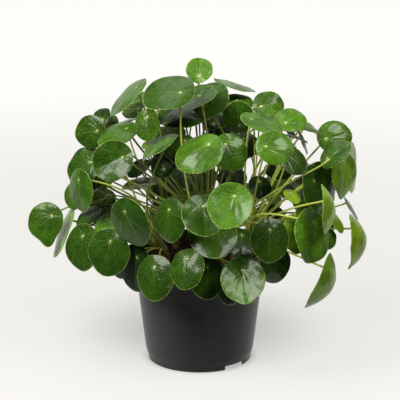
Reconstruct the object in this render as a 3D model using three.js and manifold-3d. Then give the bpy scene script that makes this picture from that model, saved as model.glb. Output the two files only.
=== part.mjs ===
// A potted Chinese money plant in a black nursery pot: the pot, its soil, and leafy stems whose round
// blades stand on long leaf stalks that fan out from the tops of short woody stems.
import * as THREE from "three";
import { mergeVertices } from "three/addons/utils/BufferGeometryUtils.js";
import Module from "manifold-3d";

const wasm = await Module();
wasm.setup();

// Driving dimensions, in millimetres. Z is up and the viewer stands at -Y.
const POT_HEIGHT = 160;
const RIM_RADIUS = 95;
const RIM_DEPTH = 12;
const WALL_TOP_RADIUS = 92.5;
const WALL_FOOT_RADIUS = 77;
const WALL = 2.1;
const FOOT_HEIGHT = 16;
const FOOT_RADIUS = 73;
const FLOOR_HEIGHT = 7;
const NOTCH_HEIGHT = 5.5;
const NOTCH_WIDTH = 34;
const NOTCH_ANGLES = [-47.5, 72.5, 192.5];
const DRAIN_RADIUS = 5;
const DRAIN_COUNT = 6;
const DRAIN_CIRCLE = 57;
const POT_SIDES = 32;
const SOIL_TOP = 146;
const SEAT = 0.3;

const STEM_RADIUS = 7;
const LEANING_RADIUS = 6.6;
const STEM_SIDES = 8;
const STEM_FOOT = 112;
const LEANS_FROM = SOIL_TOP + 4;
const STALK_RADIUS = 1.6;
const ROOT_OUT = 4.5;
const BLADE = 1;
const HUB_BACK = 0.24;
const BLADE_WIDTH = 0.94;
const HUB_DIMPLE = 1.2;
const CLEAR = 3.2;
const STALK_CLEAR = 5;

// The reference view: a long lens looking 15 degrees down at the point AIM. A leaf that the photograph
// shows is given by its picture point, and by how far behind (+) or before (-) the pot's axis it is.
const VIEW_PITCH = THREE.MathUtils.degToRad(15);
const VIEW_DISTANCE = 2200;
const MM_PER_PIXEL = 1.4;
const PICTURE_CENTRE = 200;
const AIM = new THREE.Vector3(0.7, 0, 229);
const FORWARD = new THREE.Vector3(0, Math.cos(VIEW_PITCH), -Math.sin(VIEW_PITCH));
const RIGHT = new THREE.Vector3(1, 0, 0);
const UP = new THREE.Vector3(0, Math.sin(VIEW_PITCH), Math.cos(VIEW_PITCH));
const EYE = AIM.clone().addScaledVector(FORWARD, -VIEW_DISTANCE);

// The woody stems: where each stands in the soil, and the top of its crown.
const STEMS = {
  middle: { foot: [6, -4], crown: [10, -10, 198] },
  right: { foot: [50, -30], crown: [72, -45, 202] },
  front: { foot: [12, -58], crown: [16, -72, 178] },
  left: { foot: [-48, -30], crown: [-60, -40, 184] },
  back_left: { foot: [-34, 44], crown: [-46, 58, 190] },
  back_right: { foot: [38, 42], crown: [48, 56, 192] },
};

// Every leaf that the photograph shows: its stem, the picture point of the blade's centre, its length
// in mm, how far it faces the viewer (1 is square on, below 0 shows the underside), the picture angle
// its face leans to, the picture angle its tip points to, and its depth in mm. Some rows end with
// parts of the blade's form that are drawn by chance for the others.
const SEEN_LEAVES = [
  // far left
  ["left", 45.5, 221, 55, 0.92, 180, 221, -20, { point: 0.4, skew: 1.047, cup: 0.05 }],
  ["left", 81, 190, 59, 0.6, 188, 275, -60],
  ["middle", 73.5, 196, 38, 0.7, 180, 270, -20],
  ["left", 64, 231.5, 75, 0.26, 160, 250, 0, { cup: 0.04, wave: 0.01 }],
  ["left", 91, 216, 47, 0.5, 122, 215, -30],
  ["middle", 104, 198, 36, -0.8, 250, 200, 10],
  ["middle", 103, 186, 28, 0.4, 120, 200, 0],
  ["left", 83, 247, 64, 0.77, 180, 270, -75],
  ["left", 109, 252, 65, 0.92, 200, 262, -110],
  ["left", 131, 222, 69, 0.72, 213, 295, -120],
  ["left", 115, 227, 60, 0.7, 100, 250, -70],
  // lower middle
  ["front", 170.5, 220, 58, 0.73, 180, 270, -150],
  ["front", 204, 214.5, 63, 0.87, 90, 275, -165, { cup: -0.05, fold: 0.06 }],
  ["front", 230, 205, 62, 0.95, 90, 250, -190, { point: 0.1, cup: -0.05, fold: 0.04 }],
  ["front", 187, 269, 54, 0.87, 160, 262, -165],
  ["front", 207, 277.5, 57, 0.88, 0, 270, -130],
  ["left", 155.5, 277.5, 61, 0.87, 180, 268, -130],
  ["left", 136, 268, 67, 0.7, 200, 265, -95],
  ["left", 121, 262, 46, 0.75, 190, 265, -70],
  ["front", 213, 236, 69, 0.85, 90, 280, -130],
  ["front", 241.5, 243, 48, 0.8, 60, 270, -120],
  ["front", 269.5, 240, 58, 0.93, 0, 268, -165],
  ["right", 275, 265.5, 52, 0.8, 320, 275, -110],
  ["front", 243, 279.7, 63, 0.96, 90, 275, -160, { cup: -0.04, fold: 0.1 }],
  ["front", 231, 286.5, 50, 0.8, 180, 250, -115],
  // upper middle
  ["middle", 199.5, 153.5, 65, 0.8, 115, 212, -150, { fold: -0.1 }],
  ["middle", 230, 152, 50, 0.95, 30, 300, -125],
  ["right", 274.5, 147.5, 50, 0.93, 60, 355, -140],
  ["right", 293, 161, 43, 0.8, 40, 320, -90],
  ["right", 260.5, 123.5, 57, 0.45, 67, 335, -120],
  ["middle", 238.6, 117.5, 46, 0.95, 270, 95, -95],
  ["middle", 164, 162, 47, 0.75, 150, 100, -60],
  ["middle", 159.5, 146, 57, 0.35, 125, 215, -110],
  ["middle", 149, 144, 21, 0.6, 120, 200, -90],
  ["middle", 181, 146, 40, 0.7, 110, 230, -100],
  ["middle", 147.5, 124.5, 44, 0.8, 170, 275, -90, { fold: 0.08 }],
  ["middle", 118, 134.5, 57, 0.58, 115, 205, -80],
  ["middle", 112.5, 161, 58, 0.93, 170, 205, -120, { cup: 0.02, fold: 0.12 }],
  ["middle", 90.7, 131.7, 49, 0.85, 180, 190, -50],
  ["back_left", 101, 117, 33, 0.65, 130, 120, -20],
  ["back_left", 107, 125, 38, 0.7, 130, 150, 0],
  ["middle", 84, 167.5, 60, 0.75, 160, 215, -40],
  ["middle", 96, 179, 42, 0.6, 140, 210, -10],
  // top
  ["back_left", 128.5, 96.5, 67, 0.36, 136, 226, -40, { cup: 0.05 }],
  ["back_left", 133, 110.5, 30, -0.7, 300, 200, -10],
  ["back_left", 141, 99, 34, 0.5, 120, 200, 0],
  ["front", 168.5, 93.5, 72, 0.66, 112, 180, -118],
  ["middle", 186, 103.5, 86, 0.42, 118, 208, -80],
  ["middle", 210.5, 99.5, 54, 0.85, 125, 50, -60, { fold: -0.1 }],
  ["middle", 182, 115.5, 74, 0.5, 95, 185, -45],
  ["middle", 199.3, 70, 39, 0.88, 90, 85, -20],
  ["middle", 234.3, 85.5, 59, 0.22, 73, 343, -40, { cup: 0.03, wave: 0.01 }],
  ["middle", 239, 102, 41, 0.6, 80, 40, -60],
  ["middle", 216, 120, 42, 0.6, 90, 60, -20],
  ["middle", 219, 131, 40, 0.7, 80, 300, -10],
  // right
  ["right", 268.3, 104.7, 43, 0.87, 80, 10, -70, { fold: 0.12 }],
  ["right", 290.7, 120.3, 46, 0.72, 75, 35, -85],
  ["back_right", 307.5, 126.8, 37, 0.35, 65, 352, -40],
  ["right", 296, 138, 33, 0.15, 70, 340, -60, { cup: 0.03, wave: 0.01 }],
  ["right", 303, 142, 36, 0.2, 20, 290, -20, { cup: 0.03, wave: 0.01 }],
  ["right", 334.3, 137, 49, 0.94, 45, 10, -60],
  ["right", 335.5, 154, 48, 0.64, 130, 35, -85, { fold: 0.12 }],
  ["right", 343.3, 172.5, 62, 0.6, 0, 267, -50, { point: 0.2 }],
  ["right", 352, 167, 70, 0.28, 0, 268, -20, { cup: 0.04, wave: 0.01 }],
  ["right", 350.7, 208, 37, 0.2, 30, 300, 0, { cup: 0.04, wave: 0.01 }],
  ["right", 320, 188, 76, 0.66, 0, 315, -70],
  ["right", 309, 216, 46, 0.8, 20, 270, -85],
  ["right", 311.5, 235, 73, 0.68, 10, 265, -120],
  ["right", 325.7, 211, 62, 0.22, 0, 270, -130, { point: 0.15, skew: 3.142, cup: 0.22, fold: 0, wave: 0.01 }],
  ["right", 336.5, 222, 33, 0.45, 30, 300, -60],
  ["right", 329.7, 239, 28, 0.7, 0, 270, -80],
  ["right", 351.5, 241, 76, 0.12, 0, 272, -40, { cup: 0.3, fold: 0, wave: 0.01 }],
  ["right", 319.5, 280.5, 82, 0.16, 336, 246, -90, { cup: 0.28, fold: 0, wave: 0.01 }],
  ["right", 260, 187, 35, 0.85, 60, 280, -60],
  ["right", 292, 196, 27, 0.6, 60, 300, -90],
  ["right", 296, 234, 52, 0.78, 10, 270, -100],
  // dark ones deep among the stalks
  ["middle", 243, 146, 52, 0.7, 90, 270, 25],
  ["back_right", 232, 178, 46, 0.7, 90, 260, 50],
  ["back_left", 197, 177, 62, 0.7, 90, 250, 60],
  ["back_left", 168, 182, 56, 0.7, 110, 250, 60],
  ["left", 140, 184, 50, 0.35, 100, 190, 20],
  ["middle", 139, 168, 38, 0.6, 120, 220, 20],
  ["back_right", 278, 171, 42, 0.6, 80, 300, 20],
  ["right", 285, 187, 52, 0.6, 60, 300, 40],
];

// The sides and the back, which the photograph doesn't show, are grown on a dome of the same size.
const GROWN_LEAVES = 46;
const GROWN_TRIES = 900;
const GOLDEN_ANGLE = Math.PI * (3 - Math.sqrt(5));
const DOME_CENTRE = new THREE.Vector3(0, 5, 205);
const DOME_X = 212;
const DOME_Y = 190;
const DOME_UP = 180;
const DOME_DOWN = 75;
const GROWN_SMALLEST = 48;
const GROWN_LARGEST = 72;
const SEED = 20261;

// Picture circles (x, y, radius) where the photograph looks through between the leaves.
const OPENINGS = [
  [139, 147, 7],
  [136, 190, 18],
  [200, 130, 10],
  [258, 168, 13],
  [292, 216, 8],
];
// The picture outline of the plant's dense middle: a leaf at least this far behind the pot's axis may
// show in a gap there.
const BEHIND = 25;
const DENSE_OUTLINE = [
  [84, 176],
  [104, 130],
  [150, 100],
  [250, 98],
  [304, 130],
  [330, 170],
  [330, 232],
  [284, 268],
  [150, 270],
  [84, 240],
];

// Draws in a fixed order, the same each time, between 0 and 1.
let drawState = SEED;
function draw() {
  drawState = (drawState * 16807) % 2147483647;
  return drawState / 2147483647;
}

const vector = (x, y, z) => new THREE.Vector3(x, y, z);
const mix = (a, b, t) => a + (b - a) * t;

// The point on the plane y = depth that a picture point shows.
function pointSeenAt(u, v, depth) {
  const ray = FORWARD.clone()
    .addScaledVector(RIGHT, ((u - PICTURE_CENTRE) * MM_PER_PIXEL) / VIEW_DISTANCE)
    .addScaledVector(UP, ((PICTURE_CENTRE - v) * MM_PER_PIXEL) / VIEW_DISTANCE);
  return EYE.clone().addScaledVector(ray, (depth - EYE.y) / ray.y);
}

// The picture point that shows a point in space.
function pictureOf(point) {
  const offset = point.clone().sub(EYE);
  const scale = VIEW_DISTANCE / MM_PER_PIXEL / offset.dot(FORWARD);
  return [PICTURE_CENTRE + offset.dot(RIGHT) * scale, PICTURE_CENTRE - offset.dot(UP) * scale];
}

// A leaf's own frame: origin at the hub where the stalk joins, x to the tip, y across, z out of the face.
function placeBlade(leaf, centre, normal, tip) {
  leaf.centre = centre;
  leaf.z = normal.clone().normalize();
  leaf.x = tip.clone().addScaledVector(leaf.z, -tip.dot(leaf.z)).normalize();
  leaf.y = leaf.z.clone().cross(leaf.x);
  leaf.hub = centre.clone().addScaledVector(leaf.x, -HUB_BACK * leaf.length);
}

// How far the blade's middle surface stands off its plane: domed, folded along the midrib and waved.
function bladeHeight(leaf, x, y) {
  const half = leaf.length / 2;
  const along = (x - HUB_BACK * leaf.length) / half;
  const across = y / half;
  const out = along * along + across * across;
  const ripple = Math.sin(leaf.waves * Math.atan2(across, along) + leaf.phase);
  const wave = leaf.wave * out * Math.sqrt(out) * ripple;
  const folded = Math.sqrt(across * across + 0.004) - 0.55;
  return leaf.length * (leaf.fold * folded + leaf.cup * (0.9 - out) + wave);
}

function bladePoint(leaf, x, y, lift) {
  return leaf.hub
    .clone()
    .addScaledVector(leaf.x, x)
    .addScaledVector(leaf.y, y)
    .addScaledVector(leaf.z, bladeHeight(leaf, x, y) + lift);
}

// The outline in the leaf's frame at an angle round the blade's centre. Its short point is at the tip, or
// skewed round from it.
function outline(leaf, angle) {
  const half = leaf.length / 2;
  const point = 1 + leaf.point * Math.max(0, Math.cos(angle - leaf.skew)) ** 16;
  const [x, y] = [half * point * Math.cos(angle), half * point * BLADE_WIDTH * Math.sin(angle)];
  return [HUB_BACK * leaf.length + x, y];
}

// Points spread over a blade, for the clearance tests.
function sampleBlade(leaf) {
  const samples = [bladePoint(leaf, 0, 0, 0)];
  for (const share of [0.5, 1])
    for (let i = 0; i < 12; i++) {
      const [x, y] = outline(leaf, (i * Math.PI) / 6);
      samples.push(bladePoint(leaf, x * share, y * share, 0));
    }
  return samples;
}

// The signed distance of a point off a blade's surface, or null beside the blade.
function offBlade(leaf, point, margin) {
  const dx = point.x - leaf.hub.x;
  const dy = point.y - leaf.hub.y;
  const dz = point.z - leaf.hub.z;
  const x = dx * leaf.x.x + dy * leaf.x.y + dz * leaf.x.z;
  const y = dx * leaf.y.x + dy * leaf.y.y + dz * leaf.y.z;
  const half = leaf.length / 2 + margin;
  const along = (x - HUB_BACK * leaf.length) / half;
  const across = y / half;
  if (along * along + across * across > 1) return null;
  return dx * leaf.z.x + dy * leaf.z.y + dz * leaf.z.z - bladeHeight(leaf, x, y);
}

// Whether a run of points comes too near a blade or passes through it.
function runHitsBlade(points, leaf, margin) {
  let above = false;
  let below = false;
  for (const point of points) {
    const off = offBlade(leaf, point, margin);
    if (off === null) continue;
    if (Math.abs(off) < CLEAR) return true;
    if (off > 0) above = true;
    else below = true;
  }
  return above && below;
}

function bladesTouch(a, b) {
  if (a.centre.distanceTo(b.centre) > (a.length + b.length) * 0.55 + CLEAR) return false;
  return runHitsBlade(a.samples, b, CLEAR) || runHitsBlade(b.samples, a, CLEAR);
}

// The pot's outer radius at a height.
function potRadius(z) {
  if (z > POT_HEIGHT - RIM_DEPTH) return RIM_RADIUS;
  return mix(WALL_FOOT_RADIUS, WALL_TOP_RADIUS, (z - FOOT_HEIGHT) / (POT_HEIGHT - RIM_DEPTH - FOOT_HEIGHT));
}

function hitsPot(points) {
  return points.some(
    (p) => p.z < 4 || (p.z < POT_HEIGHT + CLEAR && Math.hypot(p.x, p.y) < potRadius(p.z) + CLEAR),
  );
}

// The points of a stalk's curve.
const STALK_SAMPLES = 48;
function curvePoints(curve) {
  return curve.getPoints(STALK_SAMPLES);
}

function distanceToSegment(p, a, b) {
  const abx = b.x - a.x;
  const aby = b.y - a.y;
  const abz = b.z - a.z;
  const apx = p.x - a.x;
  const apy = p.y - a.y;
  const apz = p.z - a.z;
  const share = (apx * abx + apy * aby + apz * abz) / (abx * abx + aby * aby + abz * abz);
  const t = Math.min(1, Math.max(0, share));
  return Math.hypot(apx - t * abx, apy - t * aby, apz - t * abz);
}

// The bodies placed so far.
const leaves = [];

// The stem's curve from its foot in the soil to its crown.
const stems = {};
for (const [name, { foot, crown }] of Object.entries(STEMS)) {
  const base = vector(foot[0], foot[1], LEANS_FROM);
  const top = vector(...crown);
  const rise = (top.z - base.z) / 2;
  const curve = new THREE.CubicBezierCurve3(
    base,
    base.clone().add(vector(0, 0, rise)),
    top.clone().add(vector((base.x - top.x) / 3, (base.y - top.y) / 3, -rise / 2)),
    top,
  );
  stems[name] = { name, base, top, curve, line: curve.getPoints(8), stalks: [] };
}

// Whether a stalk comes too near a blade that isn't its own.
function nearBlade(points, leaf) {
  const reach = leaf.length * 0.6 + 6;
  const near = points.filter((p) => p.distanceTo(leaf.centre) < reach);
  return near.length > 0 && runHitsBlade(near, leaf, 2);
}

// Where a stalk passes too near what it must miss, counted.
function stalkFaults(stem, leaf, points) {
  let faults = 0;
  for (const other of leaves) {
    if (other !== leaf && nearBlade(points, other)) faults += 1;
  }
  const free = points.slice(0, Math.floor(STALK_SAMPLES * 0.86));
  for (const p of free) {
    const off = offBlade(leaf, p, 3);
    if (off !== null && off > -2) {
      faults += 1;
      break;
    }
  }
  if (hitsPotRim(points)) faults += 1;
  for (const other of Object.values(stems)) {
    if (other === stem) continue;
    if (runsMeet(points, other.line, STEM_RADIUS + STALK_CLEAR)) faults += 1;
    for (const stalk of other.stalks) if (runsMeet(points, stalk, STALK_CLEAR)) faults += 1;
  }
  return faults;
}

function hitsPotRim(points) {
  return points.some((p) => {
    const r = Math.hypot(p.x, p.y);
    if (p.z > POT_HEIGHT + CLEAR) return false;
    return r > RIM_RADIUS - 10 ? r < potRadius(p.z) + CLEAR : p.z < SOIL_TOP + 4 && r > STEM_RADIUS * 2;
  });
}

function runsMeet(points, line, apart) {
  for (let i = 0; i < line.length - 1; i++) {
    const a = line[i];
    const b = line[i + 1];
    const middle = a.clone().add(b).multiplyScalar(0.5);
    const reach = a.distanceTo(b) / 2 + apart;
    for (const p of points)
      if (p.distanceToSquared(middle) < reach * reach && distanceToSegment(p, a, b) < apart) return true;
  }
  return false;
}

// How many stalks of its own stem it runs into past the crown, where all of them start together.
function stalkCrossings(stem, points) {
  const free = points.slice(Math.floor(STALK_SAMPLES * 0.3));
  return stem.stalks.filter((stalk) => runsMeet(free, stalk, STALK_RADIUS * 2.2)).length;
}

// A stalk from a crown to a hub, bent sideways by a given amount: it leaves the crown upward and outward
// and comes to the hub from under the blade. The lower a leaf is, the lower its stalk starts.
const HIGHEST_HUB = 440;
const HUB_RANGE = 300;
const CROWN_SHARE = 0.62;
function stalkCurve(stem, leaf, bend, turn) {
  const hub = bladePoint(leaf, 0, 0, -HUB_DIMPLE);
  const reach = hub.clone().sub(stem.top);
  const low = THREE.MathUtils.clamp((HIGHEST_HUB - hub.z) / HUB_RANGE, 0, 1);
  const start = stem.curve.getPoint(1 - CROWN_SHARE * low);
  start.add(vector(reach.x, reach.y, 0).setLength(ROOT_OUT));
  const span = hub.distanceTo(start);
  const chord = hub.clone().sub(start).normalize();
  const side = chord.clone().cross(vector(0, 0, 1)).normalize();
  const rise = side.clone().cross(chord);
  const sway = side
    .multiplyScalar(Math.cos(turn) * bend)
    .addScaledVector(rise, Math.sin(turn) * bend);
  const leave = chord.clone().add(vector(0, 0, 0.35)).normalize();
  const slant = chord.clone().addScaledVector(leaf.z, -chord.dot(leaf.z));
  const arrive = leaf.z.clone().addScaledVector(slant, 0.8).normalize();
  const facing = Math.max(0, leaf.z.dot(reach.normalize()));
  return new THREE.CubicBezierCurve3(
    start,
    start.clone().addScaledVector(leave, 0.38 * span).add(sway),
    hub.clone().addScaledVector(arrive, -(0.16 + 0.16 * facing) * span).addScaledVector(sway, 0.7),
    hub,
  );
}

const BENDS = [0, 8, 16, 26, 38, 52];
const TURNS = 8;
// The first stalk that misses everything: its own stem is tried first, then the next nearest ones.
function growStalk(leaf, names) {
  let best = null;
  for (const name of names) {
    const stem = stems[name];
    for (const bend of BENDS)
      for (let i = 0; i < (bend ? TURNS : 1); i++) {
        const curve = stalkCurve(stem, leaf, bend, (i * 2 * Math.PI) / TURNS);
        const points = curvePoints(curve);
        const faults = stalkFaults(stem, leaf, points) * 100 + stalkCrossings(stem, points);
        if (!best || faults < best.faults) best = { stem, curve, points, faults };
        if (!faults) return best;
      }
  }
  return best;
}

function stemsByDistance(point) {
  return Object.keys(stems).sort(
    (a, b) => stems[a].top.distanceTo(point) - stems[b].top.distanceTo(point),
  );
}

function shape(leaf) {
  leaf.point = 0.05;
  leaf.skew = 0;
  leaf.cup = mix(0.04, 0.11, draw());
  leaf.fold = mix(-0.03, 0.09, draw());
  leaf.wave = mix(0.005, 0.03, draw());
  leaf.waves = 3 + Math.floor(draw() * 3);
  leaf.phase = draw() * 2 * Math.PI;
}

// The seen leaves, nearest first. One that would touch a leaf before it steps back along its line of
// sight until it is clear.
const STEP_BACK = 3;
const MOST_STEPS = 60;
const seen = SEEN_LEAVES.map(([stem, u, v, length, open, lean, tip, depth, own]) => {
  const leaf = { stem, u, v, length, open, lean, tip, depth };
  shape(leaf);
  return Object.assign(leaf, own);
}).sort((a, b) => a.depth - b.depth);

function faceLeaf(leaf, depth) {
  const centre = pointSeenAt(leaf.u, leaf.v, depth);
  const toward = EYE.clone().sub(centre).normalize();
  const lean = THREE.MathUtils.degToRad(leaf.lean);
  const tip = THREE.MathUtils.degToRad(leaf.tip);
  const aside = Math.sqrt(1 - leaf.open * leaf.open);
  const normal = toward
    .clone()
    .multiplyScalar(leaf.open)
    .addScaledVector(RIGHT, Math.cos(lean) * aside)
    .addScaledVector(UP, Math.sin(lean) * aside)
    .normalize();
  const pointing = RIGHT.clone().multiplyScalar(Math.cos(tip)).addScaledVector(UP, Math.sin(tip));
  const turned = Math.sign(leaf.open) * Math.max(0.25, Math.abs(toward.dot(normal)));
  pointing.addScaledVector(toward, -pointing.dot(normal) / turned);
  placeBlade(leaf, centre, normal, pointing);
  leaf.samples = sampleBlade(leaf);
}

for (const leaf of seen) {
  for (let step = 0; step < MOST_STEPS; step++) {
    faceLeaf(leaf, leaf.depth + step * STEP_BACK);
    leaf.moved = step * STEP_BACK;
    if (!hitsPot(leaf.samples) && !leaves.some((other) => bladesTouch(leaf, other))) break;
  }
  leaves.push(leaf);
}

function takeStalk(leaf, found) {
  leaf.stalk = found.curve;
  leaf.grownOn = found.stem.name;
  found.stem.stalks.push(found.points);
}

for (const leaf of seen) {
  const others = stemsByDistance(leaf.hub).filter((name) => name !== leaf.stem);
  takeStalk(leaf, growStalk(leaf, [leaf.stem, ...others.slice(0, 3)]));
}

// Whether something in front, as the viewer sees it, covers a point.
function isCovered(point) {
  const ray = point.clone().sub(EYE);
  return seen.some((leaf) => {
    const across = ray.dot(leaf.z);
    if (Math.abs(across) < 1) return false;
    const share = leaf.hub.clone().sub(EYE).dot(leaf.z) / across;
    return share < 1 && offBlade(leaf, EYE.clone().addScaledVector(ray, share), 0) !== null;
  });
}

function insideDense([u, v]) {
  let inside = false;
  DENSE_OUTLINE.forEach(([x1, y1], i) => {
    const [x2, y2] = DENSE_OUTLINE[(i + 1) % DENSE_OUTLINE.length];
    if (y1 > v !== y2 > v && u < x1 + ((v - y1) * (x2 - x1)) / (y2 - y1)) inside = !inside;
  });
  return inside && !OPENINGS.some(([x, y, radius]) => Math.hypot(u - x, v - y) < radius);
}

// The grown leaves: spread by the golden angle over the dome, faces outward and tips down. One is kept
// where the photograph leaves room for it and it and its stalk are clear of what is there.
let grown = 0;
for (let i = 0; i < GROWN_TRIES && grown < GROWN_LEAVES; i++) {
  const turn = i * GOLDEN_ANGLE;
  const height = mix(-0.75, 1, draw());
  const inset = mix(0.72, 1, Math.sqrt(draw()));
  const flat = Math.sqrt(1 - height * height);
  const out = vector(Math.sin(turn) * flat, Math.cos(turn) * flat, height);
  const centre = vector(
    DOME_CENTRE.x + DOME_X * inset * out.x,
    DOME_CENTRE.y + DOME_Y * inset * out.y,
    DOME_CENTRE.z + (height > 0 ? DOME_UP : DOME_DOWN) * inset * height,
  );
  const nod = vector(mix(-0.35, 0.35, draw()), mix(-0.35, 0.35, draw()), mix(0, 0.7, draw()));
  const normal = out.clone().add(nod);
  const tip = vector(out.x * 0.6 + mix(-0.5, 0.5, draw()), out.y * 0.6 + mix(-0.5, 0.5, draw()), -0.8);
  const leaf = { length: mix(GROWN_SMALLEST, GROWN_LARGEST, draw()) };
  shape(leaf);
  placeBlade(leaf, centre, normal, tip);
  leaf.samples = sampleBlade(leaf);
  if (hitsPot(leaf.samples) || leaves.some((other) => bladesTouch(leaf, other))) continue;
  if (!leaf.samples.every((p) => isCovered(p) || (p.y > BEHIND && insideDense(pictureOf(p))))) continue;
  if (Object.values(stems).some((stem) => stem.stalks.some((stalk) => nearBlade(stalk, leaf)))) continue;
  const found = growStalk(leaf, stemsByDistance(leaf.hub).slice(0, 3));
  if (found.faults > 2) continue;
  leaf.grown = true;
  takeStalk(leaf, found);
  leaves.push(leaf);
  grown += 1;
}

// A closed geometry as a solid whose faces point out.
function solidOf(geometry) {
  const bare = geometry.clone();
  bare.deleteAttribute("normal");
  bare.deleteAttribute("uv");
  const merged = mergeVertices(bare, 1e-4);
  const corners = merged.index.array;
  const kept = [];
  for (let i = 0; i < corners.length; i += 3) {
    const [a, b, c] = [corners[i], corners[i + 1], corners[i + 2]];
    if (a !== b && b !== c && c !== a) kept.push(a, b, c);
  }
  const build = () =>
    new wasm.Manifold(
      new wasm.Mesh({
        numProp: 3,
        vertProperties: merged.attributes.position.array,
        triVerts: Uint32Array.from(kept),
      }),
    );
  const made = build();
  if (made.volume() > 0) return made;
  kept.reverse();
  return build();
}

function meshOf(name, solid, colour, roughness) {
  const { vertProperties, triVerts } = solid.getMesh();
  const geometry = new THREE.BufferGeometry();
  geometry.setAttribute("position", new THREE.BufferAttribute(vertProperties, 3));
  geometry.setIndex(new THREE.BufferAttribute(triVerts, 1));
  geometry.computeVertexNormals();
  const material = new THREE.MeshStandardMaterial({ color: colour, roughness, metalness: 0 });
  const mesh = new THREE.Mesh(geometry, material);
  mesh.name = name;
  return mesh;
}

function cylinder(radius, bottom, top, sides, x, y) {
  const geometry = new THREE.CylinderGeometry(radius, radius, top - bottom, sides);
  geometry.rotateX(Math.PI / 2);
  return geometry.translate(x, y, (bottom + top) / 2);
}

// A profile of [radius, height] points turned about the pot's axis.
function turned(profile) {
  const points = profile.map(([radius, height]) => new THREE.Vector2(radius, height));
  return new THREE.LatheGeometry(points, POT_SIDES).rotateX(Math.PI / 2);
}

// The pot: one thin moulded wall with a rim band at the top, a step in to a foot ring at the bottom,
// a floor inside that ring, three notches in the ring's edge and a circle of drain holes.
const FLOOR_TOP = FLOOR_HEIGHT + WALL;
const RIM_FOOT = POT_HEIGHT - RIM_DEPTH;
const INNER_STEP = FOOT_HEIGHT + 3;
const RING_INSIDE = FOOT_RADIUS - WALL;
const STEP_INSIDE = WALL_FOOT_RADIUS - WALL;
const MOUTH_RADIUS = WALL_TOP_RADIUS - WALL;
function makePot() {
  let pot = solidOf(
    turned([
      [0, FLOOR_HEIGHT],
      [RING_INSIDE, FLOOR_HEIGHT],
      [RING_INSIDE, 0],
      [FOOT_RADIUS, 0],
      [FOOT_RADIUS, FOOT_HEIGHT - 2],
      [WALL_FOOT_RADIUS, FOOT_HEIGHT],
      [WALL_TOP_RADIUS, RIM_FOOT],
      [RIM_RADIUS, RIM_FOOT + 1.5],
      [RIM_RADIUS, POT_HEIGHT],
      [MOUTH_RADIUS, POT_HEIGHT],
      [MOUTH_RADIUS, RIM_FOOT],
      [STEP_INSIDE, INNER_STEP],
      [RING_INSIDE, INNER_STEP - 2],
      [RING_INSIDE, FLOOR_TOP],
      [0, FLOOR_TOP],
    ]),
  );
  for (const angle of NOTCH_ANGLES) {
    const notch = new THREE.BoxGeometry(WALL * 6, NOTCH_WIDTH, NOTCH_HEIGHT * 2);
    notch.translate(FOOT_RADIUS, 0, 0).rotateZ(THREE.MathUtils.degToRad(angle));
    pot = pot.subtract(solidOf(notch));
  }
  for (let i = 0; i < DRAIN_COUNT; i++) {
    const turn = THREE.MathUtils.degToRad(NOTCH_ANGLES[0]) + (i * 2 * Math.PI) / DRAIN_COUNT;
    const x = DRAIN_CIRCLE * Math.cos(turn);
    const y = DRAIN_CIRCLE * Math.sin(turn);
    pot = pot.subtract(solidOf(cylinder(DRAIN_RADIUS, 0, FLOOR_TOP + 4, 12, x, y)));
  }
  return meshOf("pot", pot, 0x2a2a2b, 0.42);
}

// The soil fills the pot and is uneven on top. Each woody stem stands in a plain hole in it.
const SOIL_RINGS = [0.7, 0.35];
function soilHeight(x, y) {
  return SOIL_TOP + 2.2 * Math.sin(x * 0.09 + 1) * Math.cos(y * 0.11) + 1.4 * Math.sin(x * 0.23 - y * 0.19);
}
function makeSoil() {
  const edgeHeight = SOIL_TOP - 4;
  const edge = mix(STEP_INSIDE, MOUTH_RADIUS, (edgeHeight - INNER_STEP) / (RIM_FOOT - INNER_STEP)) - SEAT;
  const geometry = turned([
    [0, FLOOR_TOP + SEAT],
    [RING_INSIDE - SEAT, FLOOR_TOP + SEAT],
    [RING_INSIDE - SEAT, INNER_STEP - 2 + SEAT],
    [STEP_INSIDE - SEAT, INNER_STEP + SEAT],
    [edge, edgeHeight],
    ...SOIL_RINGS.map((share) => [edge * share, SOIL_TOP]),
    [0, SOIL_TOP],
  ]);
  const position = geometry.getAttribute("position");
  for (let i = 0; i < position.count; i++) {
    if (position.getZ(i) < SOIL_TOP - 1) continue;
    position.setZ(i, soilHeight(position.getX(i), position.getY(i)));
  }
  let soil = solidOf(geometry);
  for (const { base } of Object.values(stems))
    soil = soil.subtract(
      solidOf(cylinder(STEM_RADIUS + SEAT * 1.1, STEM_FOOT - SEAT, POT_HEIGHT, STEM_SIDES, base.x, base.y)),
    );
  return meshOf("soil", soil, 0x2b2019, 0.95);
}

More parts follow.
